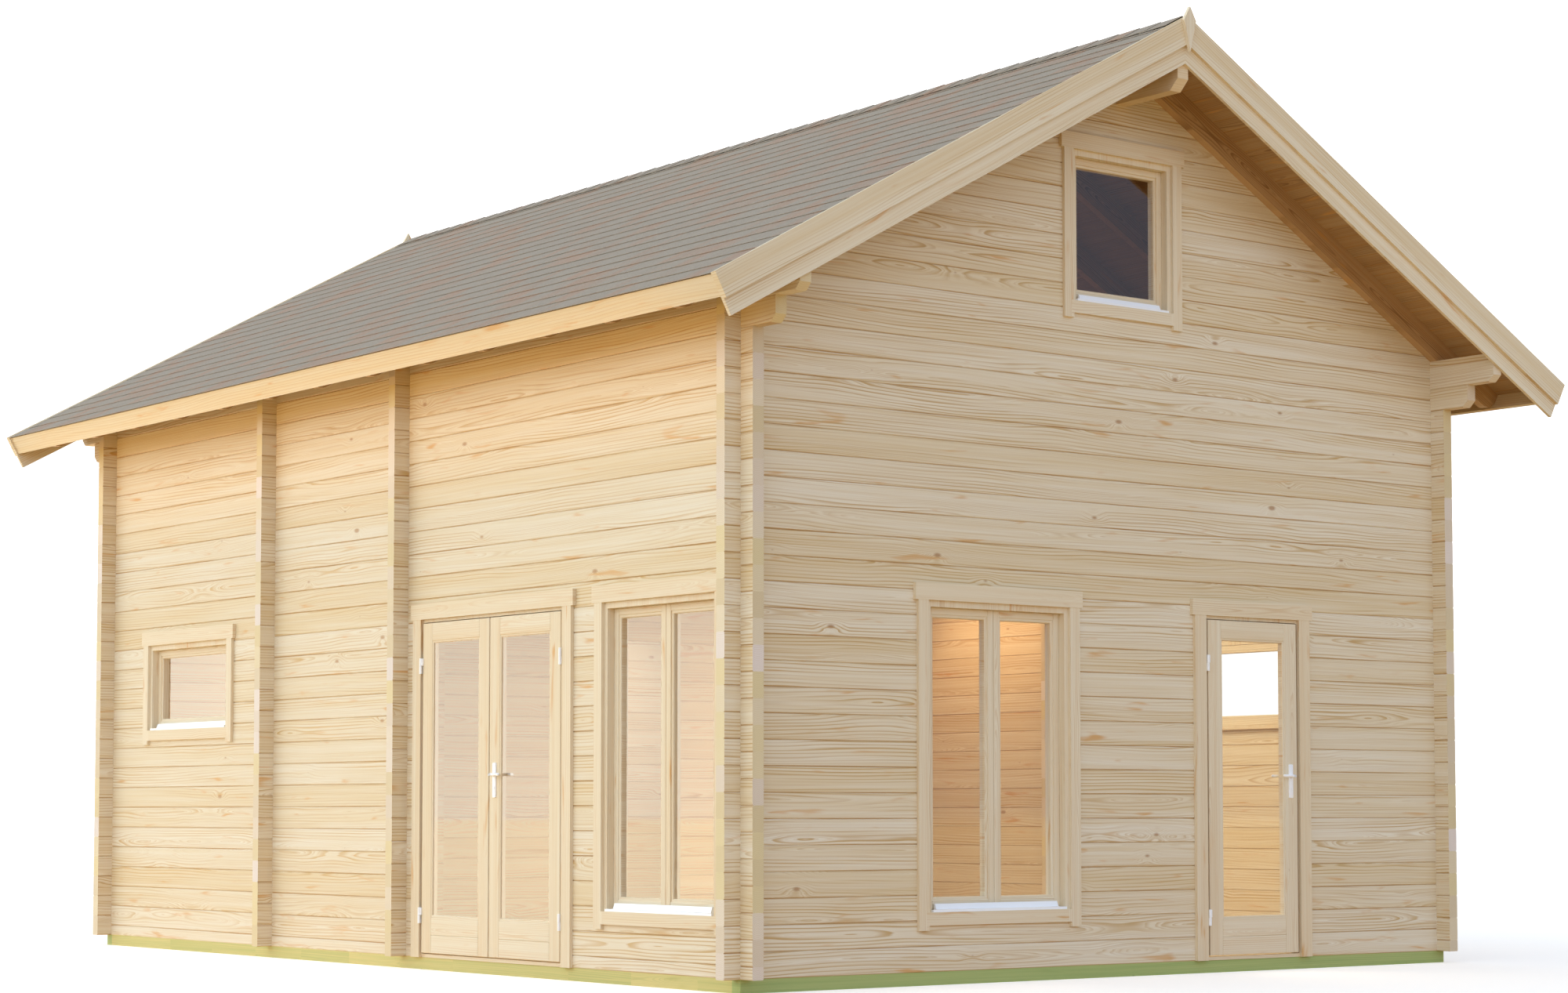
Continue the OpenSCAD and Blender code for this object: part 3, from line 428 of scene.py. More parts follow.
strip = squared("strip", (-COURSE - LAP, 0, -FELT_T), (0, STRIP_LEN, 0))
eased(strip, lambda m: m.x > -0.001 and abs(m.z) < 1e-4, 0.0022, 2)
TILT, BEDDED = math.atan2(0.0052, COURSE), 0.0008
for side, name in ((-1, "left"), (1, "right")):
    places = []
    for course in range(COURSES):
        butt = SLOPE_LEN - course * COURSE
        cut = -ROOF_END - (STAGGER * course % 1.0) * STRIP_LEN
        while cut < ROOF_END - SHORTEST:
            low, high = max(cut, -ROOF_END), min(cut + STRIP_LEN, ROOF_END)
            if high - low > SHORTEST:
                size = Matrix.Diagonal((min(1.0, butt / (COURSE + LAP)), (high - low - STRIP_GAP) / STRIP_LEN, 1, 1))
                places.append(slope_frame(side) @ Matrix.Translation((butt, low, -BEDDED))
                              @ Matrix.Rotation(-TILT, 4, "Y") @ size)
            cut += STRIP_LEN
    keep = strip.copy()
    keep.data = strip.data.copy()
    bpy.context.scene.collection.objects.link(keep)
    carried(laid(keep, places, name + "_shingle_courses"), felt, instead=(name + "_shingles",))
bpy.data.objects.remove(strip)

CAP_HALF, CAP_LEN = 0.125, 0.215
CAP_DROP = CAP_HALF * math.tan(PITCH)
CAPS, CAP_RISE, CAP_TILT = 49, 0.0055, 0.022
cap = squared("cap", (-CAP_HALF, 0, 0), (CAP_HALF, CAP_LEN, FELT_T))
choose(cap, "faces", lambda m: True)
bpy.ops.mesh.bisect(plane_co=(0, 0, 0), plane_no=(1, 0, 0))
choose(cap, "faces", lambda m: abs(m.x) > CAP_HALF - 0.001)
bpy.ops.transform.translate(value=(0, 0, -CAP_DROP))
eased(cap, lambda m: abs(m.y) < 0.001, 0.0012, 1)
step = (2 * ROOF_END - CAP_LEN) / (CAPS - 1)
places = [Matrix.Translation((0, -ROOF_END + i * step, APEX_Z + CAP_RISE)) @ Matrix.Rotation(-CAP_TILT, 4, "X")
          for i in range(CAPS)]
carried(laid(cap, places, "ridge_caps"), felt)


# Roof edge: planed boards. A fascia covers the rafter ends, a wide bargeboard closes each gable edge with a
# narrower cover board on it, and a pointed finial hides the joint of the cover boards at the ridge.
edge_look = dict(board_look, pale="#E7DCC4", warm="#DECAA5", line=0.65, ring=0.014, knots=0.35)
clad(boarded("planed_spruce_fascias", (0, 1, 0), (0, 0, 1), 0.9, edge_look, joint=0.0), "fascias")
clad(boarded("planed_spruce_bargeboards", SLOPE_DOWN, SLOPE_OUT, 0.5, edge_look, joint=0.0),
     "bargeboards", "cover_boards")
clad(boarded("planed_spruce_finials", (0, 0, 1), (1, 1, 0), 0.3, edge_look, joint=0.0), "finials")


# Windows: box frames of planed spruce let into the logs, with flat casing boards outside: two uprights, a
# bottom board between them, and a thicker header that stands past them.
joinery_look = dict(log_look, pale="#E8DDC4", warm="#E0CCA9", late="#C69C62", ring=0.012, line=0.5, knot_r=0.008,
                    knots=0.25, knot_span=0.05)
# The width over which one tree's grain goes on, in casings and in sashes and leaves.
CASING, JOINERY = 0.31, 0.24


def cased(name, centres, half, z_low, z_high):
    """Casings and frames: level grain in the header and between the uprights, upright grain elsewhere.
    centres are x - y of each window or door of the node, which differ from wall to wall."""
    material, tree, shader, (x, y, z) = finish_named(name)
    run = add(tree, "Math", {0: x, 1: y}, operation="SUBTRACT")
    apart = None
    for centre in centres:
        off = add(tree, "Math", {0: add(tree, "Math", {0: run, 1: centre}, operation="SUBTRACT")},
                  operation="ABSOLUTE")
        apart = off if apart is None else add(tree, "Math", {0: apart, 1: off}, operation="MINIMUM")
    between = add(tree, "Math", {0: apart, 1: half}, operation="LESS_THAN")
    below = add(tree, "Math", {0: z, 1: z_low}, operation="LESS_THAN")
    level = add(tree, "Math", {0: between, 1: below}, operation="MULTIPLY")
    header = add(tree, "Math", {0: z, 1: z_high}, operation="GREATER_THAN")
    level = add(tree, "Math", {0: level, 1: header}, operation="MAXIMUM")
    along = add(tree, "Mix", {0: level, 2: z, 3: run}, data_type="FLOAT")
    across = add(tree, "Mix", {0: level, 2: run, 3: z}, data_type="FLOAT")
    board = add(tree, "Math", {0: add(tree, "Math", {0: across, 1: CASING}, operation="DIVIDE")}, operation="FLOOR")
    which = add(tree, "Math", {0: level, 1: 50.0, 2: board}, operation="MULTIPLY_ADD")
    across = add(tree, "Math", {0: add(tree, "Math", {0: across, 1: CASING}, operation="MODULO"), 1: CASING / 2},
                 operation="SUBTRACT")
    colour, height = spruce(tree, along, across, which, joinery_look)
    planed(tree, shader, colour, height)
    return material


TALL, SMALL, GABLE = (0.310, 1.942), (1.376, 1.942), (3.633, 4.474)
clad(cased("planed_spruce_tall_casings", (2.672, 0.252), 0.504, WALL_FOOT + TALL[0], WALL_FOOT + TALL[1]),
     "tall_window_frames")
clad(cased("planed_spruce_small_casings", (-5.067, 4.743), 0.558, WALL_FOOT + SMALL[0], WALL_FOOT + SMALL[1]),
     "small_window_frames")
clad(cased("planed_spruce_gable_casings", (HALF_L, -HALF_L), 0.380, WALL_FOOT + GABLE[0], WALL_FOOT + GABLE[1]),
     "gable_window_frames")


# Sashes: spruce stiles and rails, set deep in the frames and tenoned at the corners, with chamfered beads that
# hold the sealed glazing from outside and inside. Tall windows have two sashes that meet in the middle.
# Openings are measured in from each wall's outer face: u along it from a corner, d into it, z up from its foot.
WALL_AT = {
    "front": Matrix(((1, 0, 0, -HALF_W), (0, 1, 0, -HALF_L), (0, 0, 1, WALL_FOOT), (0, 0, 0, 1))),
    "left": Matrix(((0, 1, 0, -HALF_W), (1, 0, 0, -HALF_L), (0, 0, 1, WALL_FOOT), (0, 0, 0, 1))),
    "right": Matrix(((0, -1, 0, HALF_W), (1, 0, 0, -HALF_L), (0, 0, 1, WALL_FOOT), (0, 0, 0, 1))),
    "back": Matrix(((-1, 0, 0, HALF_W), (0, -1, 0, HALF_L), (0, 0, 1, WALL_FOOT), (0, 0, 0, 1))),
}
FRAME_SIDE, SASH_FOOT, SASH_HEAD, SASH_GAP = 0.041, 0.012, 0.033, 0.002
STILE_W, FOOT_RAIL, HEAD_RAIL = 0.040, 0.048, 0.037
SASH_BEAD, BEAD_SET, RAIL_SET, EASE = 0.016, 0.007, 0.001, 0.0035
SASH_DEPTH = (0.042, 0.098)
PANE_DEPTH = (0.063, 0.092)
WINDOWS = (("front", 1.722, 1.032, TALL, 2), ("left", 0.698, 1.032, TALL, 2), ("left", 6.017, 1.140, SMALL, 1),
           ("right", 1.507, 1.140, SMALL, 1), ("front", HALF_W, 0.784, GABLE, 1), ("back", HALF_W, 0.784, GABLE, 1))


def member(low, high, level):
    """A stile (level 0) or rail (level 1) with eased edges, which remembers the way its grain runs."""
    return grained(eased(squared("member", low, high), lambda m: True, EASE, 2), lambda m: level)


def grained(piece, level_at):
    """Marks each face with the way its grain runs, 0 upright and 1 level."""
    mark = piece.data.attributes.new("level", "FLOAT", "FACE")
    for face in piece.data.polygons:
        mark.data[face.index].value = level_at(face.center)
    return piece


def bead(u, z, depth, width, cut, front):
    """A slim frame of beads round a glass opening, chamfered towards the glass on its outer side."""
    piece = squared("bead", (u[0], depth[0], z[0]), (u[1], depth[1], z[1]))
    choose(piece, "faces", lambda m: min(abs(m.y - depth[0]), abs(m.y - depth[1])) < 1e-6)
    bpy.ops.mesh.inset(thickness=width, use_individual=True)
    choose(piece, "faces", lambda m: abs(m.x - sum(u) / 2) < 1e-4 and abs(m.z - sum(z) / 2) < 1e-4)
    bpy.ops.mesh.bridge_edge_loops()
    face = depth[0] if front else depth[1]
    eased(piece, lambda m: abs(m.y - face) < 1e-6 and u[0] + width / 2 < m.x < u[1] - width / 2
          and z[0] + width / 2 < m.z < z[1] - width / 2
          and (abs(abs(m.x - sum(u) / 2) - (u[1] - u[0]) / 2 + width) < 1e-4
               or abs(abs(m.z - sum(z) / 2) - (z[1] - z[0]) / 2 + width) < 1e-4), cut, 1)
    return grained(piece, lambda m: 1.0 if abs(m.x - sum(u) / 2) < (u[1] - u[0]) / 2 - width else 0.0)


def sash_spans(centre, width, count):
    """Where the sashes of a window start and end across it."""
    each = (width - 2 * FRAME_SIDE - (count - 1) * SASH_GAP) / count
    starts = [centre - width / 2 + FRAME_SIDE + i * (each + SASH_GAP) for i in range(count)]
    return [(start, start + each) for start in starts]


# The same planed spruce as the casings, with the grain along each stile, rail and bead.
joinery_wood, tree, shader, (x, y, z) = finish_named("planed_spruce_joinery")
run = add(tree, "Math", {0: x, 1: y}, operation="SUBTRACT")
level = add(tree, "Attribute", out="Fac", attribute_name="level")
along = add(tree, "Mix", {0: level, 2: z, 3: run}, data_type="FLOAT")
across = add(tree, "Mix", {0: level, 2: run, 3: z}, data_type="FLOAT")
piece_no = add(tree, "Math", {0: add(tree, "Math", {0: across, 1: JOINERY}, operation="DIVIDE")}, operation="FLOOR")
piece_no = add(tree, "Math", {0: level, 1: 60.0, 2: piece_no}, operation="MULTIPLY_ADD")
across = add(tree, "Math", {0: add(tree, "Math", {0: across, 1: JOINERY}, operation="MODULO"), 1: JOINERY / 2},
             operation="SUBTRACT")
colour, height = spruce(tree, along, across, piece_no, joinery_look)
planed(tree, shader, colour, height)

parts = []
d0, d1 = SASH_DEPTH
for wall, centre, width, (z0, z1), count in WINDOWS:
    low, high = z0 + SASH_FOOT, z1 - SASH_HEAD
    inner_z = (low + FOOT_RAIL, high - HEAD_RAIL)
    for u0, u1 in sash_spans(centre, width, count):
        inner_u = (u0 + STILE_W, u1 - STILE_W)
        sash = [member((u0, d0, low), (inner_u[0], d1, high), 0.0),
                member((inner_u[1], d0, low), (u1, d1, high), 0.0),
                member((inner_u[0], d0 + RAIL_SET, low), (inner_u[1], d1 - RAIL_SET, inner_z[0]), 1.0),
                member((inner_u[0], d0 + RAIL_SET, inner_z[1]), (inner_u[1], d1 - RAIL_SET, high), 1.0),
                bead(inner_u, inner_z, (d0 + BEAD_SET, PANE_DEPTH[0]), SASH_BEAD, 0.004, True),
                bead(inner_u, inner_z, (PANE_DEPTH[0], d1 - RAIL_SET), SASH_BEAD, 0.003, False)]
        parts.append(placed(joined(sash, "sash"), WALL_AT[wall]))
carried(joined(parts, "glazed_sashes"), joinery_wood, instead=("window_sashes",))


# Panes: sealed double glazing of clear float glass with arrised edges, bedded in the sashes and door leaves. Light
# goes straight through; what glass gives the eye is a sharp reflection, here of four faces on the outer one.
FOUR_FACES, BEDDING = 0.13, 0.002
float_glass, tree, shader, _ = finish_named("clear_float_glass")
dust = add(tree, "TexNoise", {0: add(tree, "TexCoord", out="Object"), "Scale": 2.5, "Detail": 3.0})
mirror = add(tree, "BsdfGlossy", {"Roughness": add(tree, "MapRange", {0: dust, 1: 0.3, 2: 0.7, 3: 0.01, 4: 0.05})})
clear = add(tree, "BsdfTransparent", {0: linear("#FDFDFC")})
slant = add(tree, "Math", {0: add(tree, "LayerWeight", {"Blend": 0.5}, out="Facing"), 1: 5.0}, operation="POWER")
share = add(tree, "Math", {0: slant, 1: 1 - FOUR_FACES, 2: FOUR_FACES}, operation="MULTIPLY_ADD")
outer = add(tree, "Math", {0: 1.0, 1: add(tree, "NewGeometry", out="Backfacing")}, operation="SUBTRACT")
share = add(tree, "Math", {0: share, 1: outer}, operation="MULTIPLY")
tree.links.new(add(tree, "MixShader", {0: share, 1: clear, 2: mirror}),
               tree.nodes["Material Output"].inputs["Surface"])
tree.nodes.remove(shader)


def glazing(u, z, depth):
    """A sealed unit that fills a glass opening and stands 2 mm into the beads."""
    piece = squared("unit", (u[0] - BEDDING, depth[0], z[0] - BEDDING), (u[1] + BEDDING, depth[1], z[1] + BEDDING))
    return eased(piece, lambda m: True, 0.001, 1)


parts = []
for wall, centre, width, (z0, z1), count in WINDOWS:
    pane_z = (z0 + SASH_FOOT + FOOT_RAIL + SASH_BEAD, z1 - SASH_HEAD - HEAD_RAIL - SASH_BEAD)
    for u0, u1 in sash_spans(centre, width, count):
        unit = glazing((u0 + STILE_W + SASH_BEAD, u1 - STILE_W - SASH_BEAD), pane_z, PANE_DEPTH)
        parts.append(placed(unit, WALL_AT[wall]))
carried(joined(parts, "glazing_units"), float_glass, instead=("window_panes",))


# Rain rails and door hinges: rails folded from steel sheet, hinges turned from steel bar. They are screwed to the
# feet of the windows and to the door frames, and stoved with an enamel that is white, half matt and a little uneven.
white_enamel, tree, shader, _ = finish_named("white_stoved_enamel")
peel = add(tree, "TexNoise", {0: add(tree, "TexCoord", out="Object"), "Scale": 1 / 0.004, "Detail": 1.0})
tone = add(tree, "TexNoise", {0: add(tree, "TexCoord", out="Object"), "Scale": 6.0, "Detail": 2.0})
tree.links.new(add(tree, "Mix", {0: tone, 6: linear("#FBFBFB"), 7: linear("#F4F5F6")}, out=2, data_type="RGBA"),
               shader.inputs["Base Color"])
tree.links.new(add(tree, "MapRange", {0: peel, 1: 0.2, 2: 0.8, 3: 0.30, 4: 0.42}), shader.inputs["Roughness"])
tree.links.new(add(tree, "Bump", {"Strength": 0.15, "Distance": 0.0004, "Height": peel}), shader.inputs["Normal"])
clad(white_enamel, "window_sills", "door_hinges")


# Door frames: jambs, head and threshold of planed spruce, tenoned together and set in the log openings. Casing
# boards cover the gap at the sides and the head, as on the windows.
DOOR = (0.03, 1.942)
clad(cased("planed_spruce_front_door_casings", (4.6015,), 0.36, WALL_FOOT + DOOR[0], WALL_FOOT + DOOR[1]),
     "front_door_frame")
clad(cased("planed_spruce_garden_door_casings", (-1.367,), 0.72, WALL_FOOT + DOOR[0], WALL_FOOT + DOOR[1]),
     "garden_door_frame")


# Painted shade: dark brown strips 7 mm wide, rounded on the outer face and set upright on the edges of the jambs,
# between leaf and casing, where the gap between them lies in shade. They are matt and a little mottled.
SHADE_STRIP_W, SHADE_STRIP_T, SHADE_STRIP_CLEAR = 0.007, 0.0025, 0.0005
SHADE_STRIP_Z = (0.022, 1.922)
gap_shade_brown, tree, shader, _ = finish_named("brown_painted_gap_shade")
shade_mottle = add(tree, "TexNoise", {0: add(tree, "TexCoord", out="Object"), "Scale": 30.0, "Detail": 2.0})
# The strips' brown stands in for the shade in the gap.
tree.links.new(add(tree, "Mix", {0: shade_mottle, 6: linear("#6E4A29"), 7: linear("#7F5A35")}, out=2, data_type="RGBA"),
               shader.inputs["Base Color"])
tree.links.new(add(tree, "MapRange", {0: shade_mottle, 1: 0.3, 2: 0.7, 3: 0.6, 4: 0.75}), shader.inputs["Roughness"])
tree.links.new(add(tree, "Bump", {"Strength": 0.1, "Distance": 0.0005, "Height": shade_mottle}), shader.inputs["Normal"])
parts = []
for wall, low, high in (("front", 3.284, 4.019), ("left", 1.594, 3.040)):
    for u in (low - SHADE_STRIP_W - SHADE_STRIP_CLEAR, high + SHADE_STRIP_CLEAR):
        shade_strip = squared("shade_strip", (u, -SHADE_STRIP_T, SHADE_STRIP_Z[0]), (u + SHADE_STRIP_W, 0, SHADE_STRIP_Z[1]))
        parts.append(placed(eased(shade_strip, lambda m: m.y < -SHADE_STRIP_T / 2, 0.0012, 2), WALL_AT[wall]))
carried(joined(parts, "gap_shade_strips"), gap_shade_brown)


# Door leaves: spruce stiles and rails 115 mm wide with a double rail at the foot, tenoned together, and a
# bead round the glass. Half of each hinge is screwed to the leaf.
LEAF_Z = (0.026, 1.918)
LEAF_D = (-0.014, 0.026)
LEAF_PANE = (-0.005, 0.021)
LEAF_BEAD, LEAF_BEAD_SET = 0.012, 0.003
STILE, FOOT_RAILS, RAIL_JOINT = 0.115, 0.218, 0.1295
HINGE_AT, HINGE_R, HINGE_H = (-0.009, -0.024), 0.008, 0.045
HINGE_Z, HINGE_GAP = (0.195, 1.628), 0.0005
LUG_W, LUG_IN = 0.006, 0.001


def turned(radius, length, middle, sides, tip=0.0):
    """A turned cylinder, upright or tipped towards the wall."""
    bpy.ops.object.select_all(action="DESELECT")
    bpy.ops.mesh.primitive_cylinder_add(vertices=sides, radius=radius, depth=length, location=middle,
                                        rotation=(tip, 0, 0))
    bpy.ops.object.transform_apply(location=True, rotation=True, scale=True)
    return bpy.context.object


def barrel(z):
    """The leaf's half of a hinge: a turned barrel with eased ends and a lug back to the leaf."""
    piece = turned(HINGE_R, HINGE_H, (*HINGE_AT, z + HINGE_H / 2), 32)
    eased(piece, lambda m: abs(abs(m.z - z - HINGE_H / 2) - HINGE_H / 2) < 1e-6, 0.0015, 2)
    lug = squared("lug", (-LUG_W, HINGE_AT[1], z + LUG_IN), (HINGE_R, LEAF_D[0], z + HINGE_H - LUG_IN))
    return [piece, eased(lug, lambda m: m.y < HINGE_AT[1] + 1e-4, 0.002, 2)]


def leaf(width, hand, hinge_u, wall, body, name, node, pane):
    """A leaf hung at hinge_u; hand is 1 where it runs towards +u from there and -1 where it runs the other way."""
    z0, z1 = LEAF_Z
    d0, d1 = LEAF_D
    u0, u1 = STILE - LEAF_BEAD, width - STILE + LEAF_BEAD
    inner_z = (z0 + FOOT_RAILS - LEAF_BEAD, z1 - STILE + LEAF_BEAD)
    wood = [member((0, d0, z0), (u0, d1, z1), 0.0), member((u1, d0, z0), (width, d1, z1), 0.0),
            member((u0, d0, inner_z[1]), (u1, d1, z1), 1.0), member((u0, d0, z0), (u1, d1, RAIL_JOINT), 1.0),
            member((u0, d0, RAIL_JOINT), (u1, d1, inner_z[0]), 1.0),
            bead((u0, u1), inner_z, (d0 + LEAF_BEAD_SET, LEAF_PANE[0]), LEAF_BEAD, 0.003, True),
            bead((u0, u1), inner_z, (LEAF_PANE[0], d1 - RAIL_SET), LEAF_BEAD, 0.003, False)]
    metal = [part for z in HINGE_Z for part in barrel(z + HINGE_H + HINGE_GAP)]
    place = WALL_AT[wall] @ Matrix.Translation((hinge_u, 0, 0)) @ Matrix.Diagonal((hand, 1, 1, 1))
    unit = glazing((STILE, width - STILE), (z0 + FOOT_RAILS, z1 - STILE), LEAF_PANE)
    unit.name = unit.data.name = name + "_glazing"
    made = [joined(wood, name + "_frame"), joined(metal, name + "_hinge_halves"), unit]
    for whole in made:
        placed(whole, place)
    carried(made[0], joinery_wood, body, (node,))
    carried(made[1], white_enamel, body)
    carried(made[2], float_glass, body, (pane,))


leaf(0.721, 1, 3.290, "front", "front_door", "front_leaf", "front_door_leaf", "front_door_pane")
leaf(0.712, 1, 1.600, "left", "garden_door_near", "garden_near", "garden_near_leaf", "garden_near_pane")
leaf(0.712, -1, 3.034, "left", "garden_door_far", "garden_far", "garden_far_leaf", "garden_far_pane")


# Handles: cast zinc levers on long plates, white enamelled, on both faces of two leaves and bolted through.
# Each lever turns out of its plate on a short neck and points to the hinge side.
PLATE_W, PLATE_H, PLATE_T = 0.032, 0.194, 0.008
PLATE_UP, PLATE_DOWN = 0.34 * PLATE_H, 0.66 * PLATE_H
HANDLE_Z = 1.040
LEVER_R, LEVER_LEN, LEVER_OUT, BEND = 0.0080, 0.084, 0.053, 0.013
COLLAR_R, LOCK_R, LOCK_Z = 0.012, 0.0085, -0.072
QUARTER = math.pi / 2


def drawn_out(length):
    """Draws the chosen end of a lever out along it."""
    bpy.ops.mesh.extrude_region_move(TRANSFORM_OT_translate={"value": (-length, 0, 0)})


def lever_set():
    """One plate with its lever, facing out of the wall (towards -d), the lever towards -u."""
    plate = squared("plate", (-PLATE_W / 2, -PLATE_T, -PLATE_DOWN), (PLATE_W / 2, 0, PLATE_UP))
    eased(plate, lambda m: abs(m.x) > PLATE_W / 2 - 1e-5 and not 0.001 - PLATE_DOWN < m.z < PLATE_UP - 0.001,
          0.006, 4)
    eased(plate, lambda m: m.y < -PLATE_T + 1e-5, 0.0025, 3)

    # The lever is a round bar: a neck straight out, a quarter bend, the grip and a domed end.
    bpy.ops.object.select_all(action="DESELECT")
    bpy.ops.mesh.primitive_circle_add(vertices=24, radius=LEVER_R, fill_type="NGON",
                                      location=(0, -PLATE_T / 2, 0), rotation=(QUARTER, 0, 0))
    grip = bpy.context.object
    bpy.ops.object.transform_apply(location=True, rotation=True, scale=True)
    choose(grip, "faces", lambda m: True)
    neck = LEVER_OUT - BEND - PLATE_T / 2
    bpy.ops.mesh.extrude_region_move(TRANSFORM_OT_translate={"value": (0, -neck, 0)})
    bpy.ops.mesh.spin(steps=8, angle=QUARTER, center=(-BEND, -PLATE_T / 2 - neck, 0), axis=(0, 0, -1))
    drawn_out(LEVER_LEN - BEND - 0.006)
    for length, share in ((0.004, 0.8), (0.002, 0.5)):
        drawn_out(length)
        bpy.ops.transform.resize(value=(1, share, share))
    close(grip)

    collar = turned(COLLAR_R, 0.006, (0, -PLATE_T - 0.002, 0), 24, QUARTER)
    eased(collar, lambda m: m.y < -PLATE_T - 0.0049, 0.002, 2)
    lock = turned(LOCK_R, 0.004, (0, -PLATE_T - 0.001, LOCK_Z), 24, QUARTER)
    choose(lock, "faces", lambda m: m.y < -PLATE_T - 0.0029)
    bpy.ops.mesh.inset(thickness=0.004)
    bpy.ops.transform.translate(value=(0, 0.0015, 0))
    close(lock)
    whole = joined([plate, grip, collar, lock], "lever_set")
    bpy.ops.object.shade_smooth_by_angle(angle=math.radians(35))
    return whole


for wall, spot, body, name, node in (("front", 3.9535, "front_door", "front_levers", "front_door_handle"),
                                     ("left", 2.2545, "garden_door_near", "garden_levers", "garden_near_handle")):
    outside = WALL_AT[wall] @ Matrix.Translation((spot, LEAF_D[0], HANDLE_Z))
    inside = WALL_AT[wall] @ Matrix.Translation((spot, LEAF_D[1], HANDLE_Z)) @ Matrix.Diagonal((1, -1, 1, 1))
    carried(laid(lever_set(), [outside, inside], name), white_enamel, body, (node,))


# The ground: a plain pale studio floor that takes the house's soft shadow. It shows white to the camera and
# throws less light back on to the house than white would; glass mirrors it as bright as the wall of the studio.
bpy.ops.object.select_all(action="DESELECT")
bpy.ops.mesh.primitive_plane_add(size=600, location=(0, 0, 0))
ground = bpy.context.object
ground.name = "studio_floor"
KEY_FROM = Vector((-0.78, 0.62, 0.06)).normalized()
FIELD_EDGE, FIELD_CORE = 0.25, 0.95
EVEN, KEY, EVEN_GLOSS, KEY_GLOSS = 1.46, 0.85, 1.05, 3.20
FLOOR_GLOW = 0.38
studio_white, tree, shader, _ = finish_named("matt_studio_floor")
ray = add(tree, "LightPath", out=None).outputs
tree.links.new(add(tree, "Mix", {0: ray["Is Camera Ray"], 6: linear("#EAB972"), 7: linear("#FCF4EA")}, out=2,
                   data_type="RGBA"), shader.inputs["Base Color"])
shader.inputs["Roughness"].default_value = 0.9
shader.inputs["Specular IOR Level"].default_value = 0.0
shader.inputs["Emission Color"].default_value = (1, 1, 1, 1)
tree.links.new(add(tree, "Math", {0: ray["Is Camera Ray"], 1: FLOOR_GLOW}, operation="MULTIPLY"),
               shader.inputs["Emission Strength"])
outward = add(tree, "VectorMath", {0: add(tree, "TexCoord", out="Object")}, operation="NORMALIZE")
toward = add(tree, "VectorMath", {0: outward, 1: KEY_FROM}, out="Value", operation="DOT_PRODUCT")
field = add(tree, "MapRange", {0: toward, 1: FIELD_EDGE, 2: FIELD_CORE, 3: EVEN_GLOSS, 4: EVEN_GLOSS + KEY_GLOSS},
            interpolation_type="SMOOTHSTEP")
mirrored = add(tree, "Emission", {"Color": linear("#FFF2D6"), "Strength": field})
tree.links.new(add(tree, "MixShader", {0: ray["Is Glossy Ray"], 1: shader.outputs[0], 2: mirrored}),
               tree.nodes["Material Output"].inputs["Surface"])
ground.data.materials.append(studio_white)


# Studio light: an even white surround, stronger low down and dimmer on the right, with a wide warm field behind
# the left side, so that the left wall is lit and the front is in soft shade. Broad lamps light the rooms and the
# loft, and a long strip on the floor lights the wall under the left eaves.
LOW_SHARE, HIGH_SHARE, RIGHT_SHARE = 1.48, 0.36, 0.3
BACKDROP = 1.5
world = bpy.data.worlds.new("even_studio")
bpy.context.scene.world = world
world.use_nodes = True
tree = world.node_tree
tree.nodes.clear()
ray = add(tree, "LightPath", out=None).outputs
seen = add(tree, "Math", {0: ray["Is Camera Ray"], 1: ray["Is Transmission Ray"]}, operation="MAXIMUM")
toward = add(tree, "VectorMath", {0: add(tree, "TexCoord", out="Generated"), 1: KEY_FROM}, out="Value",
             operation="DOT_PRODUCT")
field = add(tree, "MapRange", {0: toward, 1: FIELD_EDGE, 2: FIELD_CORE, 3: 0.0, 4: 1.0},
            interpolation_type="SMOOTHSTEP")
away, _, up = add(tree, "SeparateXYZ", {0: add(tree, "TexCoord", out="Generated")}, out=None).outputs
even = add(tree, "Mix", {0: ray["Is Glossy Ray"], 2: EVEN, 3: EVEN_GLOSS}, data_type="FLOAT")
even = add(tree, "Math", {0: even, 1: add(tree, "MapRange", {0: away, 1: 0.2, 2: 0.9, 3: 1.0, 4: RIGHT_SHARE})},
           operation="MULTIPLY")
low = add(tree, "MapRange", {0: up, 1: 0.0, 2: 1.0, 3: LOW_SHARE, 4: HIGH_SHARE})
low = add(tree, "Mix", {0: ray["Is Glossy Ray"], 2: low, 3: 1.0}, data_type="FLOAT")
even = add(tree, "Math", {0: even, 1: low}, operation="MULTIPLY")
tint = add(tree, "Mix", {0: seen, 6: linear("#D7E7FF"), 7: linear("#FFFFFF")}, out=2, data_type="RGBA")
strength = add(tree, "Mix", {0: seen, 2: even, 3: BACKDROP}, data_type="FLOAT")
plain = add(tree, "Background", {"Color": tint, "Strength": strength})
key = add(tree, "Mix", {0: ray["Is Glossy Ray"], 2: KEY, 3: KEY_GLOSS}, data_type="FLOAT")
unseen = add(tree, "Math", {0: 1.0, 1: seen}, operation="SUBTRACT")
key = add(tree, "Math", {0: key, 1: unseen}, operation="MULTIPLY")
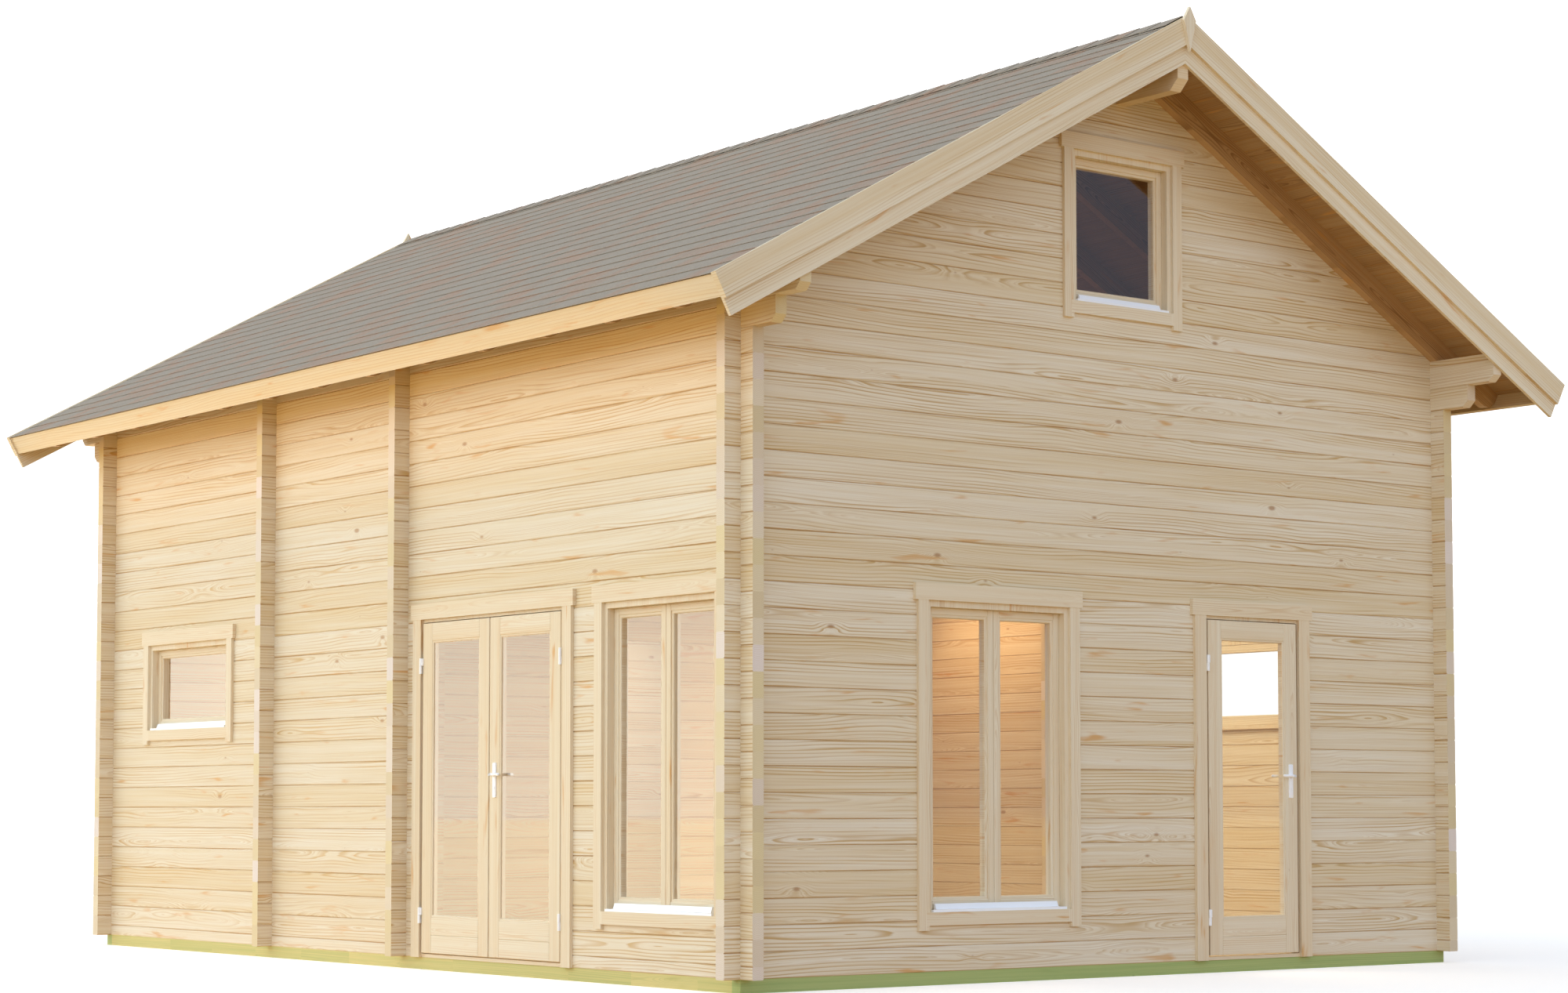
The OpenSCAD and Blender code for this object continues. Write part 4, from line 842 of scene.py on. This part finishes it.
tint = add(tree, "Mix", {0: ray["Is Glossy Ray"], 6: linear("#F4FADC"), 7: linear("#FFF2D6")}, out=2,
           data_type="RGBA")
warm = add(tree, "Background", {"Color": tint,
                                "Strength": add(tree, "Math", {0: key, 1: field}, operation="MULTIPLY")})
add(tree, "OutputWorld", {"Surface": add(tree, "AddShader", {0: plain, 1: warm})}, out=None)


def area_lamp(name, size, power, tint, place):
    """A flat lamp, which shines straight down unless it is turned."""
    lamp = bpy.data.lights.new(name, "AREA")
    lamp.shape = "RECTANGLE"
    lamp.size, lamp.size_y = size
    lamp.energy = power
    lamp.color = linear(tint)[:3]
    hung = bpy.data.objects.new(name, lamp)
    hung.location = place
    bpy.context.scene.collection.objects.link(hung)
    return hung


area_lamp("front_room_lamp", (2.4, 2.0), 56, "#FFF4D6", (0.9, -1.95, 2.40))
area_lamp("middle_room_lamp", (0.9, 1.2), 13, "#FFD4A0", (2.0, 0.35, 2.40))
area_lamp("rear_room_lamp", (3.6, 1.6), 38, "#FFF4E6", (0.0, 2.45, 2.40))
area_lamp("loft_lamp", (2.0, 4.0), 14, "#FFC28C", (0.0, 0.0, 4.40))

# The strip lies so far out on the left that the edge of the fascia shades the top of the wall.
eaves_strip = area_lamp("eaves_strip", (7.6, 0.3), 4.6, "#FFC870", (-20.0, 0.1, 0.25))
eaves_strip.data.spread = math.radians(4)
eaves_strip.rotation_euler = Vector((17.35, 0.0, 2.95)).to_track_quat("-Z", "Y").to_euler()
eaves_strip.visible_glossy = eaves_strip.visible_camera = False


# Camera: near the ground in front of the left corner, with a long lens, as in the photograph. It looks up a
# little, and its frame is shifted up for the rest, so that the uprights stay nearly parallel.
camera = bpy.data.cameras.new("camera")
camera.lens = 70.17
camera.sensor_width = 36
camera.shift_y = 0.09
camera.clip_end = 2000
viewer = bpy.data.objects.new("camera", camera)
viewer.location = (-11.7925, -15.7818, 0.8993)
viewer.rotation_euler = (math.radians(93.278), 0, math.radians(-37.705))
bpy.context.scene.collection.objects.link(viewer)
bpy.context.scene.camera = viewer
bpy.context.scene.view_settings.view_transform = "Standard"
